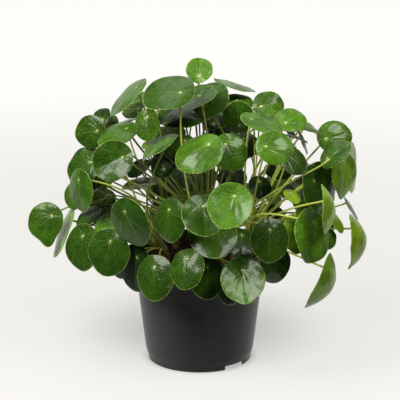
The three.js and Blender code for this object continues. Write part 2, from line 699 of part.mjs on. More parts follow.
// A leaf in one closed skin: two blade faces of like triangles round the hub, a thin rim wall, and the
// three-sided stalk that runs from under the hub back to its root in the stem.
const RING_POINTS = 5;
const RING_SHARE = 0.6;
const STALK_SIDES = 3;
const STALK_STEPS = 4;
function leafSolid(leaf) {
  const rimPoints = leaf.grown ? 2 * RING_POINTS : 12;
  const vertices = [];
  const faces = [];
  const angleOf = (count, i) => (i * 2 * Math.PI) / count;
  const ringOf = (count, pointAt) =>
    Array.from({ length: count }, (_, i) => vertices.push(pointAt(angleOf(count, i))) - 1);
  const bladeRing = (count, share, lift) =>
    ringOf(count, (angle) => {
      const [x, y] = outline(leaf, angle);
      return bladePoint(leaf, x * share, y * share, lift);
    });
  const rim = bladeRing(rimPoints, 1, BLADE / 2);
  const ring = bladeRing(RING_POINTS, RING_SHARE, BLADE / 2);
  const lowRim = bladeRing(rimPoints, 1, -BLADE / 2);
  const lowRing = bladeRing(RING_POINTS, RING_SHARE, -BLADE / 2);
  const hub = vertices.push(bladePoint(leaf, 0, 0, BLADE / 2 - HUB_DIMPLE)) - 1;

  // The stalk's rings, from the one on the hub's underside down to the root.
  let aside = leaf.x;
  const stalkRings = [];
  for (let k = STALK_STEPS; k >= 0; k--) {
    const along = leaf.stalk.getTangentAt(k / STALK_STEPS);
    const centre = leaf.stalk.getPointAt(k / STALK_STEPS);
    aside = aside.clone().addScaledVector(along, -aside.dot(along)).normalize();
    const across = along.clone().cross(aside);
    const stalkRing = ringOf(STALK_SIDES, (angle) => {
      const [x, y] = [STALK_RADIUS * Math.cos(angle), STALK_RADIUS * Math.sin(angle)];
      if (k === STALK_STEPS) return bladePoint(leaf, x, y, -BLADE / 2 - HUB_DIMPLE);
      return centre.clone().addScaledVector(aside, x).addScaledVector(across, y);
    });
    stalkRings.push(stalkRing);
  }

  // The band of triangles between two rings, stepping round whichever is behind.
  const band = (inner, outer, flip) => {
    let [i, j] = [0, 0];
    while (i < inner.length || j < outer.length) {
      const here = [inner[i % inner.length], outer[j % outer.length]];
      const stepOut = (j + 1) / outer.length <= (i + 1) / inner.length && j < outer.length;
      const next = stepOut ? outer[++j % outer.length] : inner[++i % inner.length];
      faces.push(flip ? [here[0], next, here[1]] : [here[0], here[1], next]);
    }
  };
  band(ring, rim, false);
  band(lowRing, lowRim, true);
  band(stalkRings[0], lowRing, true);
  band(rim, lowRim, false);
  for (let k = 0; k < STALK_STEPS; k++) band(stalkRings[k], stalkRings[k + 1], false);
  ring.forEach((here, i) => faces.push([hub, here, ring[(i + 1) % RING_POINTS]]));
  faces.push([...stalkRings[STALK_STEPS]].reverse());
  const geometry = new THREE.BufferGeometry();
  geometry.setFromPoints(vertices);
  geometry.setIndex(faces.flat());
  return solidOf(geometry);
}

// A leafy stem: the woody stem, upright in the soil and leaning above it to its crown and bud, with its
// leaves. A hollow that the join seals is filled.
const STEM_STEPS = 2;
const LEANING_SIDES = 6;
const BUD_LENGTH = 12;
const BUD_TIP = 1.6;
function makeLeafyStem(stem) {
  const section = new THREE.Shape();
  for (let i = 0; i < LEANING_SIDES; i++) {
    const angle = (i * 2 * Math.PI) / LEANING_SIDES;
    const [x, y] = [LEANING_RADIUS * Math.cos(angle), LEANING_RADIUS * Math.sin(angle)];
    if (i) section.lineTo(x, y);
    else section.moveTo(x, y);
  }
  const leaning = { steps: STEM_STEPS, bevelEnabled: false, extrudePath: stem.curve };
  const bud = new THREE.CylinderGeometry(BUD_TIP, LEANING_RADIUS - 1, BUD_LENGTH, LEANING_SIDES - 1);
  bud.rotateX(Math.PI / 2).translate(stem.top.x, stem.top.y, stem.top.z + BUD_LENGTH / 2 - 3);
  let plant = solidOf(cylinder(STEM_RADIUS, STEM_FOOT, LEANS_FROM + 2, STEM_SIDES, stem.base.x, stem.base.y))
    .add(solidOf(new THREE.ExtrudeGeometry(section, leaning)))
    .add(solidOf(bud));
  for (const leaf of leaves) if (leaf.grownOn === stem.name) plant = plant.add(leafSolid(leaf));
  const outer = plant.decompose().reduce((a, b) => (b.volume() > a.volume() ? b : a));
  return meshOf(`leafy_stem_${stem.name}`, outer, 0x3c6b1d, 0.38);
}

// The plant's box is centred on the origin, with the pot's foot at height 0.
const plant = new THREE.Group();
plant.add(makePot(), makeSoil(), ...Object.values(stems).map(makeLeafyStem));
const middle = new THREE.Box3().setFromObject(plant).getCenter(vector(0, 0, 0));
plant.position.set(-middle.x, -middle.y, 0);
const part = new THREE.Group();
part.add(plant);

export default part;
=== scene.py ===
# A potted Chinese money plant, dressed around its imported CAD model: a black nursery pot, peat soil, and six
# leafy stems whose round glossy blades stand on long leaf stalks. Places are in millimetres from the pot's
# axis, with the viewer at -Y, and in_frame() turns them into metres in the frame's own place.
import math
from types import SimpleNamespace

import bpy
import numpy as np
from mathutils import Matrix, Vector


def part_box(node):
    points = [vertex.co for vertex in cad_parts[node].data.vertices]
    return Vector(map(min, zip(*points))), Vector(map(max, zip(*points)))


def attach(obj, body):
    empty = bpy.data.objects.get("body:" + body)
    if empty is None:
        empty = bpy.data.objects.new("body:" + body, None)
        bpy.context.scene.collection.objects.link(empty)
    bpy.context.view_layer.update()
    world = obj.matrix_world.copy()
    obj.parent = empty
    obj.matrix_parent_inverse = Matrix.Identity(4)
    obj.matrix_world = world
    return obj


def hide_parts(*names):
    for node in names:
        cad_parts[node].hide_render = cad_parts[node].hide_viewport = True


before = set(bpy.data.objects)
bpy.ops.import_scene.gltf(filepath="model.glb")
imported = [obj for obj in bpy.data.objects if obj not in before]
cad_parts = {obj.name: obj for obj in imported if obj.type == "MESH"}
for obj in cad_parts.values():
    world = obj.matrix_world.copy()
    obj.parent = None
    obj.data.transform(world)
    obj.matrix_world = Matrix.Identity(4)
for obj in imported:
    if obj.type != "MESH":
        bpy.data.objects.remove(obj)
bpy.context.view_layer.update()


# The reference view. A long lens looks 15 degrees down at the plant's middle from the front, so the scene
# is a square of 400 picture points, each 1.4 mm wide at the pot's axis. The leaves are placed by it too.
POT_LOW, POT_HIGH = [np.array(corner, dtype=float) * 1000 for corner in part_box("pot")]
AXIS = np.array([(POT_LOW[0] + POT_HIGH[0]) / 2, (POT_LOW[1] + POT_HIGH[1]) / 2, 0])
VIEW_PITCH = math.radians(15)
VIEW_DISTANCE = 2200
MM_PER_PIXEL = 1.4
PICTURE_CENTRE = 200
AIM = np.array([0.7, 0, 229])
FORWARD = np.array([0, math.cos(VIEW_PITCH), -math.sin(VIEW_PITCH)])
RIGHT = np.array([1.0, 0, 0])
UP = np.array([0, math.sin(VIEW_PITCH), math.cos(VIEW_PITCH)])
EYE = AIM - FORWARD * VIEW_DISTANCE


def in_frame(points):
    """Points in millimetres from the pot's axis, as metres in the frame."""
    return (np.asarray(points, dtype=float) + AXIS) / 1000


def looking(direction):
    """The turn of a camera or lamp that looks along a direction."""
    return Vector(direction).to_track_quat("-Z", "Y").to_euler()


bpy.ops.object.camera_add(location=in_frame(EYE), rotation=looking(FORWARD))
camera = bpy.context.object
camera.name = "view_camera"
camera.data.sensor_fit = "HORIZONTAL"
camera.data.angle = 2 * math.atan(PICTURE_CENTRE * MM_PER_PIXEL / VIEW_DISTANCE)
camera.data.clip_end = 100
camera.data.dof.use_dof = False
bpy.context.scene.camera = camera
bpy.context.scene.view_settings.view_transform = "Standard"


# The studio floor: a wide sheet of opal acrylic, lit from below as a product table is. Far off it glows like
# a plain backdrop. Close behind the plant and at the pot's foot its glow is dimmed: a painted shadow of the
# plant and a painted contact shadow, as its own glow takes no shadow. Only the viewer sees it, so its glow
# lies neither on the leaves nor on the pot.
FLOOR_RADIUS = 30000
FLOOR_GLOWS_AND_PAINTED_SHADOWS = [
    {"centre": (-120, 420, 0), "near": 260, "far": 1900, "glow_and_painted_shade": (0.72, 0.95)},
    # a painted shadow of the plant, dimming the glow behind and beside the pot
    {"centre": (-8, 128, 0), "near": 40, "far": 236, "glow_and_painted_shade": (0.65, 1.0)},
    # a painted contact shadow round the pot's foot
    {"centre": (0, 0, 0), "near": 70, "far": 86, "glow_and_painted_shade": (0.68, 1.0)},
]


def linear(colour):
    """An sRGB hex colour such as 0x2a2a2b as linear red, green, blue and a full alpha."""
    shares = [((colour >> shift) & 255) / 255 for shift in (16, 8, 0)]
    return [s / 12.92 if s <= 0.04045 else ((s + 0.055) / 1.055) ** 2.4 for s in shares] + [1]


def add_node(tree, kind, inputs, **settings):
    """Adds a node and returns its live outputs by name. An input is given a value or another's output."""
    node = tree.nodes.new("ShaderNode" + kind)
    for name, value in settings.items():
        setattr(node, name, value)
    live = {socket.name: socket for socket in reversed(list(node.inputs)) if socket.enabled}
    live.update(enumerate(node.inputs))
    for name, value in inputs.items():
        if isinstance(value, bpy.types.NodeSocket):
            tree.links.new(value, live[name])
        else:
            live[name].default_value = value
    return {socket.name: socket for socket in node.outputs if socket.enabled}


def new_material(name, **finish):
    """A material with one Principled shader, whose plain numbers are set on its own sockets. The last thing
    that it gives back is the place on the piece, which patterns are laid out by."""
    material = bpy.data.materials.new(name)
    material.use_nodes = True
    tree = material.node_tree
    skin = tree.nodes["Principled BSDF"].inputs
    for socket, value in finish.items():
        skin[socket.replace("_", " ")].default_value = value
    return material, tree, skin, add_node(tree, "TexCoord", {})["Object"]


def deselect_all():
    """Nothing selected, so that the next operator acts on the new primitive alone."""
    if bpy.context.mode != "OBJECT":
        bpy.ops.object.mode_set(mode="OBJECT")
    bpy.ops.object.select_all(action="DESELECT")


def name_piece(name):
    """Names the active object and its mesh."""
    piece = bpy.context.object
    piece.name = name
    piece.data.name = name
    return piece


deselect_all()
bpy.ops.mesh.primitive_circle_add(vertices=96, radius=FLOOR_RADIUS / 1000, fill_type="NGON")
floor = name_piece("studio_floor")
acrylic, tree, skin, place = new_material("lit_opal_acrylic", Roughness=0.9, Specular_IOR_Level=0.1)
skin["Base Color"].default_value = linear(0x6A6A68)
skin["Emission Color"].default_value = linear(0xFFFDF9)
glow_and_painted_shade = 1.0
# Each field scales the glow, and the last two paint the shadows.
for field in FLOOR_GLOWS_AND_PAINTED_SHADOWS:
    away = {0: place, 1: in_frame(field["centre"])}
    away = add_node(tree, "VectorMath", away, operation="DISTANCE")["Value"]
    share = {"Value": away, "From Min": field["near"] / 1000, "From Max": field["far"] / 1000}
    share.update({"To Min": field["glow_and_painted_shade"][0], "To Max": field["glow_and_painted_shade"][1]})
    share = add_node(tree, "MapRange", share, interpolation_type="SMOOTHSTEP")["Result"]
    glow_and_painted_shade = add_node(tree, "Math", {0: glow_and_painted_shade, 1: share}, operation="MULTIPLY")["Value"]
tree.links.new(glow_and_painted_shade, skin["Emission Strength"])
floor.data.materials.append(acrylic)
floor.visible_glossy = False
floor.visible_diffuse = False
floor.visible_shadow = False


# The studio light: a room that is white behind the plant and low down all round it, and dim above and
# before it, and three softboxes, whose reflections lie on the leaves as soft pale patches. Each softbox is a
# square lamp that is aimed at the plant.
ROOM_DIM = 0.04
ROOM_WHITE = 0.85
ROOM_EDGE = (0.5, 0.98)
LOW_WHITE = 1.6
SOFTBOXES = {
    "left": {"place": (-1320, -1128, 1885), "side": 1200, "watts": 64},
    "right": {"place": (1200, -1128, 2029), "side": 900, "watts": 30},
    "top": {"place": (-440, 550, 2297), "side": 1300, "watts": 12},
}
world = bpy.data.worlds.new("white_room")
world.use_nodes = True
tree = world.node_tree
toward = add_node(tree, "TexCoord", {})["Generated"]
toward = add_node(tree, "SeparateXYZ", {"Vector": toward})
low = add_node(tree, "Math", {0: toward["Z"], 1: 0.0}, operation="MINIMUM")["Value"]
toward = {0: low, 1: -LOW_WHITE, 2: toward["Y"]}
toward = add_node(tree, "Math", toward, operation="MULTIPLY_ADD")["Value"]
white = {"Value": toward, "From Min": ROOM_EDGE[0], "From Max": ROOM_EDGE[1]}
white.update({"To Min": ROOM_DIM, "To Max": ROOM_WHITE})
white = add_node(tree, "MapRange", white, interpolation_type="SMOOTHSTEP")["Result"]
tree.nodes["Background"].inputs["Color"].default_value = linear(0xFFFEFA)
tree.links.new(white, tree.nodes["Background"].inputs["Strength"])
bpy.context.scene.world = world
for name, box in SOFTBOXES.items():
    place = np.array(box["place"], dtype=float)
    turn = looking(AIM - place)
    bpy.ops.object.light_add(type="AREA", location=in_frame(place), rotation=turn)
    lamp = bpy.context.object
    lamp.name = f"softbox_{name}"
    lamp.data.shape = "SQUARE"
    lamp.data.size = box["side"] / 1000
    lamp.data.energy = box["watts"]
    lamp.data.color = linear(0xFFFCF6)[:3]
    lamp.visible_camera = False


# The nursery pot: one thin wall of black polypropylene, injection moulded, with a rim band at the top. At its
# foot it tapers in to a low ring that it stands on, with three notches in the ring's edge, and its floor is
# raised inside the ring and has a circle of drain holes.
POT_HEIGHT = 160
RIM_RADIUS = 95
RIM_DEPTH = 12
RIM_SLOPE = 1.5
WALL_TOP_RADIUS = 92.5
WALL_FOOT_RADIUS = 77
WALL = 2.1
FOOT_HEIGHT = 16
FOOT_RADIUS = 73.6
RING_HEIGHT = 6
RING_LIP = 0.5
FLOOR_HEIGHT = 7
FLOOR_MIDDLE = 12
NOTCH_HEIGHT = 5.5
NOTCH_WIDTH = 34
NOTCH_ANGLES = [-47.5, 72.5, 178]
DRAIN_RADIUS = 5
DRAIN_COUNT = 6
DRAIN_CIRCLE = 57
DRAIN_SIDES = 32
POT_SIDES = 160
MOULD_ROUND = 0.45
ROUNDED_FROM = 25
SMOOTH_UP_TO = 30
CUT_DEPTH = 6 * WALL
FLOOR_TOP = FLOOR_HEIGHT + WALL
RIM_FOOT = POT_HEIGHT - RIM_DEPTH
INNER_STEP = FOOT_HEIGHT + 3
INNER_LOW = INNER_STEP - 2
RING_INSIDE = FOOT_RADIUS - WALL
STEP_INSIDE = WALL_FOOT_RADIUS - WALL
MOUTH_RADIUS = WALL_TOP_RADIUS - WALL
POT_PROFILE = [
    [FLOOR_MIDDLE, FLOOR_HEIGHT],
    [RING_INSIDE, FLOOR_HEIGHT],
    [RING_INSIDE, 0],
    [FOOT_RADIUS, 0],
    [FOOT_RADIUS, RING_HEIGHT],
    [FOOT_RADIUS + RING_LIP, RING_HEIGHT + RING_LIP],
    [WALL_FOOT_RADIUS, FOOT_HEIGHT],
    [WALL_TOP_RADIUS, RIM_FOOT],
    [RIM_RADIUS, RIM_FOOT + RIM_SLOPE],
    [RIM_RADIUS, POT_HEIGHT],
    [MOUTH_RADIUS, POT_HEIGHT],
    [MOUTH_RADIUS, RIM_FOOT],
    [STEP_INSIDE, INNER_STEP],
    [RING_INSIDE, INNER_LOW],
    [RING_INSIDE, FLOOR_TOP],
    [FLOOR_MIDDLE, FLOOR_TOP],
]


def turn_profile(name, profile, sides, closed=True):
    """A round shape about the pot's axis: a circle's edge is extruded from one profile point to the next."""
    deselect_all()
    radius, height = profile[0]
    centre = in_frame([0, 0, height])
    bpy.ops.mesh.primitive_circle_add(vertices=sides, radius=radius / 1000, location=centre)
    bpy.ops.object.mode_set(mode="EDIT")
    for next_radius, next_height in profile[1:]:
        rise = (0, 0, (next_height - height) / 1000)
        bpy.ops.mesh.extrude_edges_move(TRANSFORM_OT_translate={"value": rise})
        grow = next_radius / radius
        centre = in_frame([0, 0, next_height])
        bpy.ops.transform.resize(value=(grow, grow, 1), center_override=centre)
        radius, height = next_radius, next_height
    if closed:
        bpy.ops.mesh.select_all(action="DESELECT")
        bpy.ops.mesh.select_non_manifold(extend=False, use_wire=False, use_multi_face=False)
        bpy.ops.mesh.fill_holes(sides=sides)
    bpy.ops.mesh.select_all(action="SELECT")
    bpy.ops.mesh.normals_make_consistent(inside=False)
    settle_place()
    return name_piece(name)


def settle_place():
    """Leaves edit mode and moves the active object's place, turn and size into its mesh."""
    bpy.ops.object.mode_set(mode="OBJECT")
    bpy.ops.object.transform_apply(location=True, rotation=True, scale=True)


def cut_away(piece, cutter):
    """Cuts the cutter's shape out of the piece and removes the cutter."""
    cut = piece.modifiers.new("cut", "BOOLEAN")
    cut.operation = "DIFFERENCE"
    cut.solver = "EXACT"
    cut.object = cutter
    bpy.context.view_layer.objects.active = piece
    bpy.ops.object.modifier_apply(modifier="cut")
    bpy.data.objects.remove(cutter)


pot = turn_profile("nursery_pot", POT_PROFILE, POT_SIDES)
for angle in NOTCH_ANGLES:
    turn = math.radians(angle)
    deselect_all()
    place = in_frame([FOOT_RADIUS * math.cos(turn), FOOT_RADIUS * math.sin(turn), 0])
    bpy.ops.mesh.primitive_cube_add(size=0.001, location=place, rotation=(0, 0, turn))
    bpy.ops.object.mode_set(mode="EDIT")
    size = (CUT_DEPTH, NOTCH_WIDTH, NOTCH_HEIGHT * 2)
    bpy.ops.transform.resize(value=size, orient_type="LOCAL", center_override=place)
    settle_place()
    cut_away(pot, bpy.context.object)
for i in range(DRAIN_COUNT):
    turn = math.radians(NOTCH_ANGLES[0]) + i * 2 * math.pi / DRAIN_COUNT
    place = in_frame([DRAIN_CIRCLE * math.cos(turn), DRAIN_CIRCLE * math.sin(turn), FLOOR_HEIGHT])
    deselect_all()
    size = {"radius": DRAIN_RADIUS / 1000, "depth": CUT_DEPTH / 1000}
    bpy.ops.mesh.primitive_cylinder_add(vertices=DRAIN_SIDES, location=place, **size)
    cut_away(pot, bpy.context.object)
rounding = pot.modifiers.new("rounding", "BEVEL")
rounding.width = MOULD_ROUND / 1000
rounding.segments = 2
rounding.limit_method = "ANGLE"
rounding.angle_limit = math.radians(ROUNDED_FROM)
bpy.context.view_layer.objects.active = pot
bpy.ops.object.modifier_apply(modifier="rounding")
pot.select_set(True)
bpy.ops.object.shade_smooth_by_angle(angle=math.radians(SMOOTH_UP_TO))

EASED = "SMOOTHSTEP"


def lay_colours(tree, skin, first_colour, layers):
    """Lays colours over a first one, for the skin. A layer's share is the product of its ramps. Each ramp
    says what it reads, between which two values, the shares at these two, and whether it is eased."""
    body = linear(first_colour)
    for colour, *ramps in layers:
        share = 1.0
        for read, low, high, at_low, at_high, *run in ramps:
            run = run[0] if run else "LINEAR"
            ramp = {"Value": read, "From Min": low, "From Max": high, "To Min": at_low, "To Max": at_high}
            ramp = add_node(tree, "MapRange", ramp, interpolation_type=run)["Result"]
            share = add_node(tree, "Math", {0: share, 1: ramp}, operation="MULTIPLY")["Value"]
        body = {"Factor": share, "A": body, "B": linear(colour)}
        body = add_node(tree, "Mix", body, data_type="RGBA")["Result"]
    tree.links.new(body, skin["Base Color"])


# Black polypropylene from a lightly textured mould: a satin skin that goes pale at its edges where it
# mirrors the white room, with faint scuffs that run round it and a few pale specks of dried peat.
SCUFF_LENGTH = 33.33
SCUFF_HEIGHT = 4.545
DUST_APART = 10.53
MOULD_GRAIN = 0.667
plastic, tree, skin, place = new_material("black_moulded_polypropylene", IOR=1.49, Specular_IOR_Level=0.17)
scuffs = (1000 / SCUFF_LENGTH, 1000 / SCUFF_LENGTH, 1000 / SCUFF_HEIGHT)
scuffs = add_node(tree, "Mapping", {"Vector": place, "Scale": scuffs})["Vector"]
scuffs = add_node(tree, "TexNoise", {"Vector": scuffs, "Scale": 1.0, "Detail": 3.0})["Fac"]
dust = add_node(tree, "TexVoronoi", {"Vector": place, "Scale": 1000 / DUST_APART})["Distance"]
layers = [
    (0x474648, (scuffs, 0.45, 0.75, 0, 1)),
    (0x6A655C, (dust, 0.035, 0.075, 0.5, 0)),
]
lay_colours(tree, skin, 0x414142, layers)
rub = {"Value": scuffs, "From Min": 0.3, "From Max": 0.75, "To Min": 0.34, "To Max": 0.44}
tree.links.new(add_node(tree, "MapRange", rub)["Result"], skin["Roughness"])
grain = add_node(tree, "TexNoise", {"Vector": place, "Scale": 1000 / MOULD_GRAIN, "Detail": 1.0})["Fac"]
grain = add_node(tree, "Bump", {"Height": grain, "Strength": 0.12, "Distance": 0.0002})["Normal"]
tree.links.new(grain, skin["Normal"])
pot.data.materials.append(plastic)
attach(pot, "root")
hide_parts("pot")


# The potting soil: dark peat that fills the pot to just below the rim. It is uneven on top, where loose
# crumbs and splinters lie on it, with a few white grains of perlite.
SOIL_TOP = 146
SEAT = 0.3
SOIL_SIDES = 72
SOIL_RINGS = 22
CRUMBS = 900
CRUMB_SIZES = (1.0, 3.4)
CRUMB_REACH = 0.97
CRUMB_LUMPS = 0.35
CRUMB_STRETCH = (0.6, 1.5)
CRUMB_FLATNESS = 0.7
CRUMB_LIFT = 0.2
SOIL_SEED = 411
EDGE_HEIGHT = SOIL_TOP - 4
WALL_SHARE = (EDGE_HEIGHT - INNER_STEP) / (RIM_FOOT - INNER_STEP)
SOIL_EDGE = STEP_INSIDE + (MOUTH_RADIUS - STEP_INSIDE) * WALL_SHARE - SEAT


def soil_height(x, y):
    """How high the soil lies at a place: broad humps, with clods and small lumps on them."""
    humps = 2.2 * np.sin(x * 0.09 + 1) * np.cos(y * 0.11) + 1.4 * np.sin(x * 0.23 - y * 0.19)
    clods = 0.5 * np.sin(x * 0.71 + 2 * np.sin(y * 0.37)) * np.sin(y * 0.83 + 1.7 * np.sin(x * 0.41))
    return SOIL_TOP + humps + clods + 0.3 * np.sin(x * 2.1 + y) * np.sin(y * 1.9 - x * 0.6)


def places_of(piece):
    """A mesh's points in millimetres from the pot's axis."""
    places = np.empty(len(piece.data.vertices) * 3, dtype=np.float32)
    piece.data.vertices.foreach_get("co", places)
    return places.reshape(-1, 3).astype(float) * 1000 - AXIS


def move_points(piece, places):
    """Gives a mesh's points new places, in millimetres from the pot's axis."""
    piece.data.vertices.foreach_set("co", in_frame(places).astype(np.float32).ravel())
    piece.data.update()


def copy_of(master, name):
    """A copy with its own mesh."""
    piece = master.copy()
    piece.data = master.data.copy()
    piece.name = name
    bpy.context.collection.objects.link(piece)
    return piece


def join(pieces, name):
    """Joins meshes into one."""
    deselect_all()
    for piece in pieces:
        piece.select_set(True)
    bpy.context.view_layer.objects.active = pieces[0]
    bpy.ops.object.join()
    return name_piece(name)


soil_profile = [
    [FLOOR_MIDDLE, FLOOR_TOP + SEAT],
    [RING_INSIDE - SEAT, FLOOR_TOP + SEAT],
    [RING_INSIDE - SEAT, INNER_LOW + SEAT],
    [STEP_INSIDE - SEAT, INNER_STEP + SEAT],
    [SOIL_EDGE, EDGE_HEIGHT],
]
for i in range(1, SOIL_RINGS):
    soil_profile.append([SOIL_EDGE * (1 - i / SOIL_RINGS), SOIL_TOP])
soil = turn_profile("potting_soil", soil_profile, SOIL_SIDES)
places = places_of(soil)
on_top = places[:, 2] > SOIL_TOP - 1
places[on_top, 2] = soil_height(places[on_top, 0], places[on_top, 1])
move_points(soil, places)

soil_draws = np.random.default_rng(SOIL_SEED)
deselect_all()
bpy.ops.mesh.primitive_ico_sphere_add(subdivisions=1, radius=1)
crumb = name_piece("crumb")
crumb_points = np.array([point.co for point in crumb.data.vertices], dtype=float)
crumbs = []
for i in range(CRUMBS):
    reach = SOIL_EDGE * CRUMB_REACH * math.sqrt(soil_draws.random())
    turn = soil_draws.random() * 2 * math.pi
    size = CRUMB_SIZES[0] + (CRUMB_SIZES[1] - CRUMB_SIZES[0]) * soil_draws.random() ** 3
    lumps = soil_draws.standard_normal((len(crumb_points), 1)).clip(-1, 1)
    stretch = soil_draws.uniform(*CRUMB_STRETCH, 3) * [1, 1, CRUMB_FLATNESS]
    x, y = reach * math.cos(turn), reach * math.sin(turn)
    middle = [x, y, soil_height(x, y) + CRUMB_LIFT * size]
    piece = copy_of(crumb, f"crumb_{i}")
    move_points(piece, crumb_points * (1 + CRUMB_LUMPS * lumps) * size * stretch + middle)
    crumbs.append(piece)
bpy.data.objects.remove(crumb)

# Moist sphagnum peat: nearly black brown, broken by paler dry crumbs and perlite, with no gloss.
PEAT_CLUMP = 6.25
PEAT_GRAIN = 1.111
PERLITE_APART = 13.33
peat, tree, skin, place = new_material("moist_peat", Roughness=0.95, Specular_IOR_Level=0.2)
clumps = add_node(tree, "TexNoise", {"Vector": place, "Scale": 1000 / PEAT_CLUMP, "Detail": 5.0})["Fac"]
grains = add_node(tree, "TexNoise", {"Vector": place, "Scale": 1000 / PEAT_GRAIN, "Detail": 3.0})["Fac"]
perlite = add_node(tree, "TexVoronoi", {"Vector": place, "Scale": 1000 / PERLITE_APART})["Distance"]
layers = [
    (0x3A2A1E, (clumps, 0.35, 0.7, 0, 1)),
    (0x6B5138, (grains, 0.6, 0.75, 0, 0.5)),
    (0xB9B4A8, (perlite, 0.06, 0.1, 0.8, 0)),
]
lay_colours(tree, skin, 0x16100C, layers)
crumbly = add_node(tree, "Bump", {"Height": grains, "Strength": 0.6, "Distance": 0.0008})["Normal"]
tree.links.new(crumbly, skin["Normal"])
soil = join([soil, *crumbs], "potting_soil")
bpy.ops.object.shade_flat()
soil.data.materials.append(peat)
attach(soil, "root")
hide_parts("soil")


# The woody stems: short brown trunks as thick as a thumb, one for each shoot, ringed by the scars of old
# leaves, upright in the soil and then leaning out to a green crown where the leaf stalks spring.
STEM_RADIUS = 7
LEANING_RADIUS = 6.6
STEM_FOOT = 112
LEANS_FROM = SOIL_TOP + 4
STEM_SAMPLES = 8
STALK_SAMPLES = 48
STEMS = {
    "middle": {"foot": [6, -4], "crown": [10, -10, 198]},
    "right": {"foot": [50, -30], "crown": [72, -45, 202]},
    "front": {"foot": [12, -58], "crown": [16, -72, 178]},
    "left": {"foot": [-48, -30], "crown": [-60, -40, 184]},
    "back_left": {"foot": [-34, 44], "crown": [-46, 58, 190]},
    "back_right": {"foot": [38, 42], "crown": [48, 56, 192]},
}


def bezier_points(corners, shares):
    """Points on a cubic curve at shares from 0 to 1."""
    t = np.asarray(shares, dtype=float)[..., None]
    s = 1 - t
    a, b, c, d = corners
    return s**3 * a + 3 * s**2 * t * b + 3 * s * t**2 * c + t**3 * d


def unit(vector):
    """The same direction at a length of 1."""
    return vector / np.sqrt(vector @ vector)


stems = {}
for name, stem in STEMS.items():
    base = np.array([*stem["foot"], LEANS_FROM], dtype=float)
    top = np.array(stem["crown"], dtype=float)
    rise = (top[2] - base[2]) / 2
    lean_in = np.array([(base[0] - top[0]) / 3, (base[1] - top[1]) / 3, -rise / 2])
    curve = [base, base + [0, 0, rise], top + lean_in, top]
    line = bezier_points(curve, np.arange(STEM_SAMPLES + 1) / STEM_SAMPLES)
    stalks = np.empty((0, STALK_SAMPLES + 1, 3))
    stems[name] = SimpleNamespace(name=name, top=top, curve=curve, line=line, stalks=stalks)


# How the leaves stand. Each has a blade set nearly in its middle on a long stalk that bends up and out of
# the crown. The leaves in view are placed by their picture points; the rest fill a dome of the same size.
# The rule, its order and its draws are those of the solid model, so every blade lies where its solid is.
STALK_RADIUS = 1.6
ROOT_OUT = 4.5
HUB_BACK = 0.24
BLADE_WIDTH = 0.94
HUB_DIMPLE = 1.2
TIP_SHARPNESS = 16
FOLD_ROUND = 0.004
FOLD_LEVEL = 0.55
DOME_LEVEL = 0.9
SAMPLES_ROUND = 12
CLEAR = 3.2
STALK_CLEAR = 5
GROUND_CLEAR = 4
RIM_ZONE = 10
NEAR_SHARE = 0.55
CUPS = (0.04, 0.11)
FOLDS = (-0.03, 0.09)
WAVES = (0.005, 0.03)
STEEPEST = 0.25

# Some leaves are curled like a dish, with no fold along the midrib, and one is drawn out at its base.
CURLED = {"fold": 0, "wave": 0.01}
DRAWN_OUT = {"point": 0.15, "skew": 3.142}
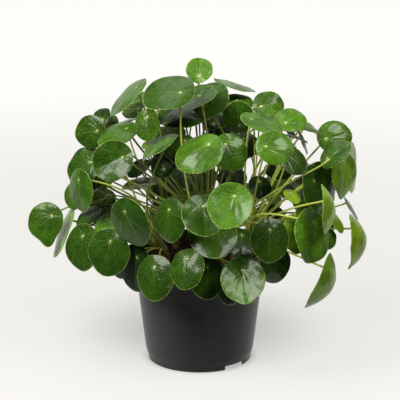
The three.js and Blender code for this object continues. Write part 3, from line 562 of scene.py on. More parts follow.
# Each row is a leaf in view: its stem, the picture point of the blade's middle, its length, how far it
# faces the viewer (below 0 shows the underside), the picture angle that its face leans to, the picture
# angle that its tip points to, its depth behind the pot's axis, its age by looks, which also paints the light
# and shade on it, and its own shape.
SEEN_LEAVES = [
    # far left
    ["left", 45.5, 221, 55, 0.92, 180, 221, -20, "grown", {"point": 0.4, "skew": 1.047, "cup": 0.05}],
    ["left", 81, 190, 59, 0.6, 188, 275, -60, "grown"],
    ["middle", 73.5, 196, 38, 0.7, 180, 270, -20, "grown"],
    ["left", 64, 231.5, 75, 0.26, 160, 250, 0, "light", {"cup": 0.04, "wave": 0.01}],
    ["left", 91, 216, 47, 0.5, 122, 215, -30, "deep"],
    ["middle", 104, 198, 36, -0.8, 250, 200, 10, "dark"],
    ["middle", 103, 186, 28, 0.4, 120, 200, 0, "light"],
    ["left", 83, 247, 64, 0.77, 180, 270, -75, "deep"],
    ["left", 109, 252, 65, 0.92, 200, 262, -110, "deep"],
    ["left", 131, 222, 69, 0.72, 213, 295, -120, "deep"],
    ["left", 115, 227, 60, 0.7, 100, 250, -70, "fresh"],
    # lower middle
    ["front", 170.5, 220, 58, 0.73, 180, 270, -150, "deep"],
    ["front", 204, 214.5, 63, 0.87, 90, 275, -165, "deep", {"cup": -0.05, "fold": 0.06}],
    ["front", 230, 205, 62, 0.95, 90, 250, -190, "fresh", {"point": 0.1, "cup": -0.05, "fold": 0.04}],
    ["front", 187, 269, 54, 0.87, 160, 262, -165, "deep"],
    ["front", 207, 277.5, 57, 0.88, 0, 270, -130, "deep"],
    ["left", 155.5, 277.5, 61, 0.87, 180, 268, -130, "deep"],
    ["left", 136, 268, 67, 0.7, 200, 265, -95, "dark"],
    ["left", 121, 262, 46, 0.75, 190, 265, -70, "grown"],
    ["front", 213, 236, 69, 0.85, 90, 280, -130, "grown"],
    ["front", 241.5, 243, 48, 0.8, 60, 270, -120, "deep"],
    ["front", 269.5, 240, 58, 0.93, 0, 268, -165, "deep"],
    ["right", 275, 265.5, 52, 0.8, 320, 275, -110, "deep"],
    ["front", 243, 279.7, 63, 0.96, 90, 275, -160, "grown", {"cup": -0.04, "fold": 0.1}],
    ["front", 231, 286.5, 50, 0.8, 180, 250, -115, "dark"],
    # upper middle
    ["middle", 199.5, 153.5, 65, 0.8, 115, 212, -150, "fresh", {"fold": -0.1}],
    ["middle", 230, 152, 50, 0.95, 30, 300, -125, "grown"],
    ["right", 274.5, 147.5, 50, 0.93, 60, 355, -140, "fresh"],
    ["right", 293, 161, 43, 0.8, 40, 320, -90, "deep"],
    ["right", 260.5, 123.5, 57, 0.45, 67, 335, -120, "fresh"],
    ["middle", 238.6, 117.5, 46, 0.95, 270, 95, -95, "deep"],
    ["middle", 164, 162, 47, 0.75, 150, 100, -60, "dark"],
    ["middle", 159.5, 146, 57, 0.35, 125, 215, -110, "grown"],
    ["middle", 149, 144, 21, 0.6, 120, 200, -90, "young"],
    ["middle", 181, 146, 40, 0.7, 110, 230, -100, "deep"],
    ["middle", 147.5, 124.5, 44, 0.8, 170, 275, -90, "grown", {"fold": 0.08}],
    ["middle", 118, 134.5, 57, 0.58, 115, 205, -80, "grown"],
    ["middle", 112.5, 161, 58, 0.93, 170, 205, -120, "deep", {"cup": 0.02, "fold": 0.12}],
    ["middle", 90.7, 131.7, 49, 0.85, 180, 190, -50, "deep"],
    ["back_left", 101, 117, 33, 0.65, 130, 120, -20, "dark"],
    ["back_left", 107, 125, 38, 0.7, 130, 150, 0, "deep"],
    ["middle", 84, 167.5, 60, 0.75, 160, 215, -40, "deep"],
    ["middle", 96, 179, 42, 0.6, 140, 210, -10, "deep"],
    # top
    ["back_left", 128.5, 96.5, 67, 0.36, 136, 226, -40, "grown", {"cup": 0.05}],
    ["back_left", 133, 110.5, 30, -0.7, 300, 200, -10, "grown"],
    ["back_left", 141, 99, 34, 0.5, 120, 200, 0, "grown"],
    ["front", 168.5, 93.5, 72, 0.66, 112, 180, -118, "deep"],
    ["middle", 186, 103.5, 86, 0.42, 118, 208, -80, "deep"],
    ["middle", 210.5, 99.5, 54, 0.85, 125, 50, -60, "deep", {"fold": -0.1}],
    ["middle", 182, 115.5, 74, 0.5, 95, 185, -45, "deep"],
    ["middle", 199.3, 70, 39, 0.88, 90, 85, -20, "fresh", {"ribs": 4}],
    ["middle", 234.3, 85.5, 59, 0.22, 73, 343, -40, "grown", {"cup": 0.03, "wave": 0.01}],
    ["middle", 239, 102, 41, 0.6, 80, 40, -60, "fresh"],
    ["middle", 216, 120, 42, 0.6, 90, 60, -20, "dark"],
    ["middle", 219, 131, 40, 0.7, 80, 300, -10, "deep"],
    # right
    ["right", 268.3, 104.7, 43, 0.87, 80, 10, -70, "grown", {"fold": 0.12}],
    ["right", 290.7, 120.3, 46, 0.72, 75, 35, -85, "fresh"],
    ["back_right", 307.5, 126.8, 37, 0.35, 65, 352, -40, "grown"],
    ["right", 296, 138, 33, 0.15, 70, 340, -60, "dark", {"cup": 0.03, "wave": 0.01}],
    ["right", 303, 142, 36, 0.2, 20, 290, -20, "grown", {"cup": 0.03, "wave": 0.01}],
    ["right", 334.3, 137, 49, 0.94, 45, 10, -60, "grown"],
    ["right", 335.5, 154, 48, 0.64, 130, 35, -85, "deep", {"fold": 0.12}],
    ["right", 343.3, 172.5, 62, 0.6, 0, 267, -50, "light", {"point": 0.2}],
    ["right", 352, 167, 70, 0.28, 0, 268, -20, "young", {"cup": 0.04, "wave": 0.01}],
    ["right", 350.7, 208, 37, 0.2, 30, 300, 0, "grown", {"cup": 0.04, "wave": 0.01}],
    ["right", 320, 188, 76, 0.66, 0, 315, -70, "deep"],
    ["right", 309, 216, 46, 0.8, 20, 270, -85, "light"],
    ["right", 311.5, 235, 73, 0.68, 10, 265, -120, "fresh"],
    ["right", 325.7, 211, 62, 0.22, 0, 270, -130, "young", {**CURLED, **DRAWN_OUT, "cup": 0.22}],
    ["right", 336.5, 222, 33, 0.45, 30, 300, -60, "young"],
    ["right", 329.7, 239, 28, 0.7, 0, 270, -80, "grown"],
    ["right", 351.5, 241, 76, 0.12, 0, 272, -40, "young", {**CURLED, "cup": 0.3}],
    ["right", 319.5, 280.5, 82, 0.16, 336, 246, -90, "light", {**CURLED, "cup": 0.28}],
    ["right", 260, 187, 35, 0.85, 60, 280, -60, "dark"],
    ["right", 292, 196, 27, 0.6, 60, 300, -90, "young"],
    ["right", 296, 234, 52, 0.78, 10, 270, -100, "light"],
    # dark ones deep among the stalks, their dark look a painted shade
    ["middle", 243, 146, 52, 0.7, 90, 270, 25, "dark"],
    ["back_right", 232, 178, 46, 0.7, 90, 260, 50, "dark"],
    ["back_left", 197, 177, 62, 0.7, 90, 250, 60, "dark"],
    ["back_left", 168, 182, 56, 0.7, 110, 250, 60, "dark"],
    ["left", 140, 184, 50, 0.35, 100, 190, 20, "deep"],
    ["middle", 139, 168, 38, 0.6, 120, 220, 20, "dark"],
    ["back_right", 278, 171, 42, 0.6, 80, 300, 20, "dark"],
    ["right", 285, 187, 52, 0.6, 60, 300, 40, "young"],
]

# The sides and the back, which aren't in view, are grown on a dome of the same size.
GROWN_LEAVES = 46
GROWN_TRIES = 900
GOLDEN_ANGLE = math.pi * (3 - math.sqrt(5))
DOME_CENTRE = np.array([0, 5, 205])
DOME_X = 212
DOME_Y = 190
DOME_UP = 180
DOME_DOWN = 75
LOWEST = -0.75
INNERMOST = 0.72
FACE_SWAY = (-0.35, 0.35)
FACE_LIFT = (0, 0.7)
TIP_OUT = 0.6
TIP_SWAY = (-0.5, 0.5)
TIP_FALL = -0.8
MOST_FAULTS = 2
GROWN_SMALLEST = 48
GROWN_LARGEST = 72
AGES_IN_TURN = ["grown", "deep", "fresh", "grown", "light", "deep", "fresh"]
SEED = 20261

# Picture circles (x, y, radius) where one looks through between the leaves.
OPENINGS = [[139, 147, 7], [136, 190, 18], [200, 130, 10], [258, 168, 13], [292, 216, 8]]
# The picture outline of the plant's dense middle, where a leaf that is this far back may show in a gap.
BEHIND = 25
DENSE_OUTLINE = [[84, 176], [104, 130], [150, 100], [250, 98], [304, 130]]
DENSE_OUTLINE += [[330, 170], [330, 232], [284, 268], [150, 270], [84, 240]]

draw_state = SEED


def draw():
    """Draws in a fixed order, the same each time, between 0 and 1."""
    global draw_state
    draw_state = draw_state * 16807 % 2147483647
    return draw_state / 2147483647


def mix(a, b, t):
    """A value between two, at a share of the way."""
    return a + (b - a) * t


def point_seen_at(u, v, depth):
    """The point on the plane y = depth that a picture point shows."""
    aside = RIGHT * ((u - PICTURE_CENTRE) * MM_PER_PIXEL / VIEW_DISTANCE)
    ray = FORWARD + aside + UP * ((PICTURE_CENTRE - v) * MM_PER_PIXEL / VIEW_DISTANCE)
    return EYE + ray * ((depth - EYE[1]) / ray[1])


def picture_of(point):
    """The picture point that shows a point in space."""
    offset = point - EYE
    scale = VIEW_DISTANCE / MM_PER_PIXEL / (offset @ FORWARD)
    return PICTURE_CENTRE + (offset @ RIGHT) * scale, PICTURE_CENTRE - (offset @ UP) * scale


def place_blade(leaf, centre, normal, tip):
    """A leaf's own frame: origin at the hub on its stalk, x to the tip, y across, z out of its face."""
    leaf.centre = centre
    leaf.z = unit(normal)
    leaf.x = unit(tip - leaf.z * (tip @ leaf.z))
    leaf.y = np.cross(leaf.z, leaf.x)
    leaf.hub = centre - leaf.x * HUB_BACK * leaf.length


def blade_height(leaf, x, y):
    """How far the blade stands off its plane: domed, folded along the midrib and waved."""
    half = leaf.length / 2
    along = (x - HUB_BACK * leaf.length) / half
    across = y / half
    out = along * along + across * across
    wave = leaf.wave * out * np.sqrt(out) * np.sin(leaf.waves * np.arctan2(across, along) + leaf.phase)
    folded = np.sqrt(across * across + FOLD_ROUND) - FOLD_LEVEL
    return leaf.length * (leaf.fold * folded + leaf.cup * (DOME_LEVEL - out) + wave)


def blade_points(leaf, x, y, lift):
    """Points of a blade in space, from places in its own frame."""
    x, y, lift = [np.asarray(value, dtype=float)[..., None] for value in (x, y, lift)]
    height = blade_height(leaf, x, y) + lift
    return leaf.hub + x * leaf.x + y * leaf.y + height * leaf.z


def outline(leaf, angle):
    """The outline in the leaf's frame at an angle round the blade's middle, with a short point at the tip."""
    half = leaf.length / 2
    point = 1 + leaf.point * np.maximum(0, np.cos(angle - leaf.skew)) ** TIP_SHARPNESS
    x, y = half * point * np.cos(angle), half * point * BLADE_WIDTH * np.sin(angle)
    return HUB_BACK * leaf.length + x, y


def sample_blade(leaf):
    """Points spread over a blade, for the clearance tests."""
    x, y = outline(leaf, np.arange(SAMPLES_ROUND) * 2 * math.pi / SAMPLES_ROUND)
    xs = np.concatenate([[0], x * 0.5, x])
    ys = np.concatenate([[0], y * 0.5, y])
    return blade_points(leaf, xs, ys, 0 * xs)


def stack_of(blades):
    """Several blades as one, whose every value is an array, to test points against all of them at once."""
    names = ("hub", "centre", "x", "y", "z", "length", "cup", "fold", "wave", "waves", "phase", "samples")
    return SimpleNamespace(**{name: np.array([getattr(b, name) for b in blades]) for name in names})


def within_blade(leaf, away, margin):
    """Places in the leaf's frame of points away from its hub, and whether they lie over the blade."""
    x = (away * leaf.x).sum(-1)
    y = (away * leaf.y).sum(-1)
    half = leaf.length / 2 + margin
    along = (x - HUB_BACK * leaf.length) / half
    across = y / half
    return x, y, along * along + across * across <= 1


def off_blade(leaf, points, margin):
    """How far points stand off a blade, or off each of a stack of them, or nan beside it."""
    away = points[:, None, :] - leaf.hub
    x, y, over = within_blade(leaf, away, margin)
    return np.where(over, (away * leaf.z).sum(-1) - blade_height(leaf, x, y), np.nan)


def hits(off):
    """Whether each run of distances comes too near a blade or passes through it."""
    return (np.abs(off) < CLEAR).any(0) | ((off > 0).any(0) & (off <= 0).any(0))


def touches(leaf, placed):
    """Whether a blade touches one of those placed before it."""
    if not placed:
        return False
    others = stack_of(placed)
    apart = np.sqrt(((leaf.centre - others.centre) ** 2).sum(-1))
    close = apart <= (leaf.length + others.length) * NEAR_SHARE + CLEAR
    if not close.any():
        return False
    others = stack_of([other for other, is_close in zip(placed, close) if is_close])
    if hits(off_blade(others, leaf.samples, CLEAR)).any():
        return True
    off = off_blade(leaf, others.samples.reshape(-1, 3), CLEAR)
    return hits(off.reshape(len(others.hub), -1).T).any()


def pot_radius(z):
    """The pot's outer radius at heights."""
    wall = mix(WALL_FOOT_RADIUS, WALL_TOP_RADIUS, (z - FOOT_HEIGHT) / (RIM_FOOT - FOOT_HEIGHT))
    return np.where(z > RIM_FOOT, RIM_RADIUS, wall)


def hits_pot(points):
    """Whether a blade touches the pot or comes near the ground."""
    z = points[:, 2]
    near = np.hypot(points[:, 0], points[:, 1]) < pot_radius(z) + CLEAR
    return ((z < GROUND_CLEAR) | ((z < POT_HEIGHT + CLEAR) & near)).any()


def hits_pot_rim(points):
    """Whether a stalk runs through the pot's wall or rim, or into the soil away from the stems."""
    z = points[:, 2]
    r = np.hypot(points[:, 0], points[:, 1])
    outside = (r > RIM_RADIUS - RIM_ZONE) & (r < pot_radius(z) + CLEAR)
    inside = (r <= RIM_RADIUS - RIM_ZONE) & (z < SOIL_TOP + GROUND_CLEAR) & (r > STEM_RADIUS * 2)
    return ((z <= POT_HEIGHT + CLEAR) & (outside | inside)).any()


def lines_met(points, lines, apart):
    """How many lines, stacked in one array, come nearer to a run of points than is allowed."""
    if not len(lines):
        return 0
    low, high = points.min(0) - apart, points.max(0) + apart
    close = ((lines.max(1) >= low) & (lines.min(1) <= high)).all(1)
    if not close.any():
        return 0
    starts = lines[close][:, :-1].reshape(-1, 3)
    steps = (lines[close][:, 1:] - lines[close][:, :-1]).reshape(-1, 3)
    squares = (steps * steps).sum(1)
    along = points @ steps.T - (starts * steps).sum(1)
    share = np.clip(along / squares, 0, 1)
    gaps = (points * points).sum(1)[:, None] + (starts * starts).sum(1) - 2 * points @ starts.T
    gaps = gaps - 2 * share * along + share * share * squares
    return (gaps.reshape(len(points), close.sum(), -1) < apart * apart).any((0, 2)).sum()


# A stalk's curve runs from a crown to a hub, bent sideways by a given amount: it leaves the crown upward
# and outward and comes to the hub from under the blade. The lower a leaf is, the lower its stalk starts.
HIGHEST_HUB = 440
HUB_RANGE = 300
CROWN_SHARE = 0.62
BENDS = [0, 8, 16, 26, 38, 52]
TURNS = 8
LEAVES_UPWARD = 0.35
LEAVE_SHARE = 0.38
ARRIVES_SLANTED = 0.8
ARRIVE_SHARE = 0.16
SWAY_LEFT = 0.7
FREE_FROM = int(STALK_SAMPLES * 0.3)
OWN_UP_TO = int(STALK_SAMPLES * 0.86)
OWN_MARGIN = 3
UNDER_OWN = -2
STALK_MARGIN = 2
FAR_SHARE = 0.6
FAR_MORE = 6
STALKS_APART = STALK_RADIUS * 2.2
TOUCH_WEIGHT = 100


def stalk_curve(stem, leaf, bend, turn):
    """The four corners of a stalk's curve."""
    hub = blade_points(leaf, 0, 0, -HUB_DIMPLE)
    reach = hub - stem.top
    low = min(1, max(0, (HIGHEST_HUB - hub[2]) / HUB_RANGE))
    start = bezier_points(stem.curve, 1 - CROWN_SHARE * low)
    start = start + unit(np.array([reach[0], reach[1], 0])) * ROOT_OUT
    span = np.sqrt((hub - start) @ (hub - start))
    chord = unit(hub - start)
    side = unit(np.cross(chord, [0, 0, 1]))
    rise = np.cross(side, chord)
    sway = side * (math.cos(turn) * bend) + rise * (math.sin(turn) * bend)
    leave = unit(chord + [0, 0, LEAVES_UPWARD])
    slant = chord - leaf.z * (chord @ leaf.z)
    arrive = unit(leaf.z + slant * ARRIVES_SLANTED)
    facing = max(0, leaf.z @ unit(reach))
    return [
        start,
        start + leave * (LEAVE_SHARE * span) + sway,
        hub - arrive * ((ARRIVE_SHARE + ARRIVE_SHARE * facing) * span) + sway * SWAY_LEFT,
        hub,
    ]


def near_blades(points, blades):
    """Whether a run of points comes too near each of a stack of blades."""
    off = off_blade(blades, points, STALK_MARGIN)
    apart = np.sqrt(((points[:, None, :] - blades.centre) ** 2).sum(-1))
    far = apart >= blades.length * FAR_SHARE + FAR_MORE
    off[far] = np.nan
    return hits(off)


def stalk_faults(stem, leaf, points, others):
    """How many things a stalk passes too near."""
    faults = near_blades(points, others).sum() if others else 0
    own = off_blade(leaf, points[:OWN_UP_TO], OWN_MARGIN)
    faults += int((own > UNDER_OWN).any()) + int(hits_pot_rim(points))
    for other in stems.values():
        if other is stem:
            continue
        faults += lines_met(points, other.line[None], STEM_RADIUS + STALK_CLEAR)
        faults += lines_met(points, other.stalks, STALK_CLEAR)
    return faults


def grow_stalk(leaf, names):
    """The first stalk that misses everything: the first stem is tried first, then the next ones."""
    best = None
    standing = [other for other in leaves if other is not leaf]
    others = stack_of(standing) if standing else None
    shares = np.arange(STALK_SAMPLES + 1) / STALK_SAMPLES
    for name in names:
        stem = stems[name]
        for bend in BENDS:
            for i in range(TURNS if bend else 1):
                curve = stalk_curve(stem, leaf, bend, i * 2 * math.pi / TURNS)
                points = bezier_points(curve, shares)
                faults = stalk_faults(stem, leaf, points, others) * TOUCH_WEIGHT
                faults += lines_met(points[FREE_FROM:], stem.stalks, STALKS_APART)
                if best is None or faults < best.faults:
                    best = SimpleNamespace(stem=stem, curve=curve, points=points, faults=faults)
                if not faults:
                    return best
    return best


def stems_by_distance(point):
    """The stems' names, nearest crown first."""
    return sorted(stems, key=lambda name: np.sqrt(((stems[name].top - point) ** 2).sum()))


def draw_shape(leaf):
    """A leaf's own form, drawn in a fixed order."""
    leaf.point = 0.05
    leaf.skew = 0
    leaf.ribs = 1
    leaf.cup = mix(*CUPS, draw())
    leaf.fold = mix(*FOLDS, draw())
    leaf.wave = mix(*WAVES, draw())
    leaf.waves = 3 + math.floor(draw() * 3)
    leaf.phase = draw() * 2 * math.pi


def face_leaf(leaf, depth):
    """Stands a seen leaf at a depth along its line of sight, turned as its row says."""
    centre = point_seen_at(leaf.u, leaf.v, depth)
    toward = unit(EYE - centre)
    lean, tip = math.radians(leaf.lean), math.radians(leaf.tip)
    aside = math.sqrt(1 - leaf.open * leaf.open)
    normal = unit(toward * leaf.open + RIGHT * (math.cos(lean) * aside) + UP * (math.sin(lean) * aside))
    pointing = RIGHT * math.cos(tip) + UP * math.sin(tip)
    turned = math.copysign(max(STEEPEST, abs(toward @ normal)), leaf.open)
    place_blade(leaf, centre, normal, pointing - toward * ((pointing @ normal) / turned))
    leaf.samples = sample_blade(leaf)


def take_stalk(leaf, found):
    """Gives a leaf the stalk that was found for it, which stands in the way of the next ones."""
    leaf.stalk = found.curve
    leaf.grown_on = found.stem.name
    found.stem.stalks = np.concatenate([found.stem.stalks, found.points[None]])


# The seen leaves, nearest first. One that would touch a leaf before it steps back along its line of sight.
STEP_BACK = 3
MOST_STEPS = 60
seen = []
for stem_name, u, v, length, open_share, lean, tip, depth, age, *own in SEEN_LEAVES:
    leaf = SimpleNamespace(stem=stem_name, u=u, v=v, length=length, open=open_share)
    leaf.lean, leaf.tip, leaf.depth, leaf.age = lean, tip, depth, age
    draw_shape(leaf)
    vars(leaf).update(*own)
    seen.append(leaf)
seen.sort(key=lambda leaf: leaf.depth)
leaves = []
for leaf in seen:
    for step in range(MOST_STEPS):
        face_leaf(leaf, leaf.depth + step * STEP_BACK)
        if not hits_pot(leaf.samples) and not touches(leaf, leaves):
            break
    leaves.append(leaf)
for leaf in seen:
    others = [name for name in stems_by_distance(leaf.hub) if name != leaf.stem]
    take_stalk(leaf, grow_stalk(leaf, [leaf.stem, *others[:3]]))
seen_stack = stack_of(seen)


def covered(points):
    """Whether something in front of each point, as the viewer sees it, covers it."""
    rays = points[:, None, :] - EYE
    across = (rays * seen_stack.z).sum(-1)
    share = ((seen_stack.hub - EYE) * seen_stack.z).sum(-1) / across
    over = within_blade(seen_stack, EYE + rays * share[..., None] - seen_stack.hub, 0)[2]
    return ((np.abs(across) >= 1) & (share < 1) & over).any(1)


def inside_dense(u, v):
    """Whether a picture point lies in the dense middle and not in an opening."""
    inside = False
    for (x1, y1), (x2, y2) in zip(DENSE_OUTLINE, DENSE_OUTLINE[1:] + DENSE_OUTLINE[:1]):
        if (y1 > v) != (y2 > v) and u < x1 + (v - y1) * (x2 - x1) / (y2 - y1):
            inside = not inside
    return inside and not any(math.hypot(u - x, v - y) < radius for x, y, radius in OPENINGS)


def grow_leaf(turn):
    """A leaf on the dome, face outward and tip down, or None where it or its stalk finds no room."""
    height = mix(LOWEST, 1, draw())
    inset = mix(INNERMOST, 1, math.sqrt(draw()))
    flat = math.sqrt(1 - height * height)
    out = np.array([math.sin(turn) * flat, math.cos(turn) * flat, height])
    dome_height = DOME_UP if height > 0 else DOME_DOWN
    centre = DOME_CENTRE + np.array([DOME_X, DOME_Y, dome_height]) * inset * out
    normal = out + [mix(*FACE_SWAY, draw()), mix(*FACE_SWAY, draw()), mix(*FACE_LIFT, draw())]
    tip = out * TIP_OUT + [mix(*TIP_SWAY, draw()), mix(*TIP_SWAY, draw()), 0]
    tip[2] = TIP_FALL
    leaf = SimpleNamespace(length=mix(GROWN_SMALLEST, GROWN_LARGEST, draw()))
    draw_shape(leaf)
    place_blade(leaf, centre, normal, tip)
    leaf.samples = sample_blade(leaf)
    if hits_pot(leaf.samples) or touches(leaf, leaves):
        return None
    hidden = covered(leaf.samples)
    for point in leaf.samples[~hidden]:
        if point[1] <= BEHIND or not inside_dense(*picture_of(point)):
            return None
    alone = stack_of([leaf])
    if any(near_blades(run, alone)[0] for stem in stems.values() for run in stem.stalks):
        return None
    found = grow_stalk(leaf, stems_by_distance(leaf.hub)[:3])
    if found.faults > MOST_FAULTS:
        return None
    leaf.age = AGES_IN_TURN[len(leaves) % len(AGES_IN_TURN)]
    take_stalk(leaf, found)
    return leaf


for i in range(GROWN_TRIES):
    if len(leaves) == len(seen) + GROWN_LEAVES:
        break
    leaf = grow_leaf(i * GOLDEN_ANGLE)
    if leaf:
        leaves.append(leaf)


# The blades: round, glossy and slightly fleshy, each cast by the plant in one thin sheet with a shallow
# dimple over its stalk, veins sunk a little into the face, and a thin pale rim. One blade is modelled as a
# flat disc, and every leaf is a copy of it that is shaped as its own form says.
BLADE = 0.9
BLADE_SPOKES = 60
FACE_RINGS = [0.035, 0.08, 0.14, 0.22, 0.31, 0.41, 0.51, 0.61, 0.71, 0.8, 0.88, 0.94, 0.985]
UNDER_RINGS = [0.985, 0.92, 0.8, 0.64, 0.46, 0.28, 0.12, 0.05]
DISC = 100
# The angles at which the veins leave the hub, the midrib first.
VEINS = [0, 33, -36, 66, -70, 101, -104, 141, -144, 178]
VEIN_DEPTH = 0.24
MIDRIB_DEPTH = 0.45
VEIN_ARCH = 0.5
ARCHED_UP_TO = 120
VEIN_REACH = 0.62
VEINS_START = 5
QUILT = 0.24
DIMPLE_RADIUS = 2.4
YOUNG_RELIEF = 0.6
EDGE_THINNING = 0.45
THINS_FROM = 0.7
# How young a leaf looks, from dark and old to yellow-green and new. The looks also paint light and shade:
# leaves that lie in shade deep in the plant are given the darkest looks.
LOOKS = {"dark": 0.0, "deep": 0.19, "grown": 0.37, "fresh": 0.55, "light": 0.77, "young": 1.0}


def vein_relief(leaf, x, y):
    """How far the veins are sunk into a blade and the fields between them quilted."""
    r = np.hypot(x, y)
    turn = np.arctan2(y, x)
    reach = np.clip(r / leaf.length / VEIN_REACH, 0, 1)
    start = np.clip(r / VEINS_START, 0, 1)
    relief = QUILT * start * np.sin(x * 0.31 + leaf.phase) * np.sin(y * 0.36 + 2 * leaf.phase)
    for vein in VEINS:
        lie = math.radians(vein) * (1 - VEIN_ARCH * reach * (abs(vein) < ARCHED_UP_TO))
        off = r * np.abs((turn - lie + math.pi) % (2 * math.pi) - math.pi)
        depth = (VEIN_DEPTH if vein else MIDRIB_DEPTH) * leaf.ribs
        relief = relief - depth * start * (1 - reach**4) * np.exp(-((off / (1.1 + 0.035 * r)) ** 2))
    dimple = HUB_DIMPLE * np.exp(-((r / DIMPLE_RADIUS) ** 2))
    return relief * (1 + YOUNG_RELIEF * (leaf.age == "young")) - dimple


def poke_caps(sides):
    """Turns the caps of a round shape into fans."""
    bpy.ops.object.mode_set(mode="EDIT")
    bpy.ops.mesh.select_all(action="DESELECT")
    bpy.ops.mesh.select_face_by_sides(number=sides, type="EQUAL")
    bpy.ops.mesh.poke()
    settle_place()


def add_point_values(piece, name, values):
    """Gives each point of a mesh one number or one colour, for its material to read."""
    values = np.asarray(values, dtype=np.float32)
    kind = "FLOAT" if values.ndim == 1 else "FLOAT_COLOR"
    made = piece.data.attributes.new(name, kind, "POINT")
    made.data.foreach_set("value" if values.ndim == 1 else "color", values.ravel())


def add_map(piece, name, places):
    """Gives a mesh a UV map whose place is known at each point."""
    corners = np.empty(len(piece.data.loops), dtype=np.int32)
    piece.data.loops.foreach_get("vertex_index", corners)
    layer = piece.data.uv_layers.new(name=name)
    layer.uv.foreach_set("vector", np.asarray(places, dtype=np.float32)[corners].ravel())


disc_profile = [[share * DISC, DISC] for share in FACE_RINGS]
disc_profile.append([DISC, 0])
disc_profile.extend([share * DISC, -DISC] for share in UNDER_RINGS)
disc = turn_profile("blade_disc", disc_profile, BLADE_SPOKES)
poke_caps(BLADE_SPOKES)
disc.data.shade_smooth()
disc_places = places_of(disc) / DISC
disc_share = np.hypot(disc_places[:, 0], disc_places[:, 1])
disc_angle = np.arctan2(disc_places[:, 1], disc_places[:, 0])
disc_side = disc_places[:, 2]


def shape_blade(leaf, name):
    """A copy of the disc, shaped and placed as one leaf's blade."""
    x, y = outline(leaf, disc_angle)
    x, y = x * disc_share, y * disc_share
    thinning = 1 - EDGE_THINNING * np.clip((disc_share - THINS_FROM) / (1 - THINS_FROM), 0, 1) ** 2
    lift = disc_side * BLADE / 2 * thinning + vein_relief(leaf, x, y)
    blade = copy_of(disc, name)
    move_points(blade, blade_points(leaf, x, y, lift))
    add_map(blade, "blade_map", np.stack([x, y], axis=1) / DISC)
    add_point_values(blade, "edge", disc_share)
    chance = leaf.phase * 7.3 % 1
    values = [LOOKS[leaf.age], chance, 0, 1]
    add_point_values(blade, "leaf_look", np.tile(values, (len(x), 1)))
    return blade


# The living leaf: a waxy cuticle over deep green tissue. It shows a satin gloss with broad pale
# reflections, mottles of lighter green, faint paler veins that fan from the hub, a cream dot on the hub
# where the stalk shines through, and a thin yellow-green rim. The underside is paler, greyer and matte.
# The old colour is partly painted shade: the darkest looks, given to leaves that lie in shade, take it.
LEAF_SIDES = {
    "waxy_leaf_face": {
        "shader": {"IOR": 1.45, "Specular_IOR_Level": 0.16, "Coat_Roughness": 0.19, "Coat_IOR": 1.45},
        "coat": (0.12, 0.46),
        "old_and_shaded": 0x0F2E07,
        "young": 0x66A01E,
        "newest": 0x9DB62A,
        "mottles": (0x9FBC3C, 0.32),
        "vein": 0x9CBF62,
        "veins": 0.05,
        "midrib": 0.14,
        "rim": (0xB4CF6E, 0.75),
        "dot": (0xE0EBBC, 1.0),
        "roughness": (0.27, 0.38),
    },
    "matte_leaf_underside": {
        "shader": {"IOR": 1.42, "Specular_IOR_Level": 0.12},
        "coat": (0.0, 0.0),
        "old_and_shaded": 0x2C3E16,
        "young": 0x6A9044,
        "newest": 0x93AC5A,
        "mottles": (0x8AA25C, 0.2),
        "vein": 0xA3B877,
        "veins": 0.3,
        "midrib": 0.5,
        "rim": (0x9AB85C, 0.5),
        "dot": (0x93A96A, 0.0),
        "roughness": (0.52, 0.64),
    },
}
VEIN_BEND = 0.35
VEIN_PAIRS = 5
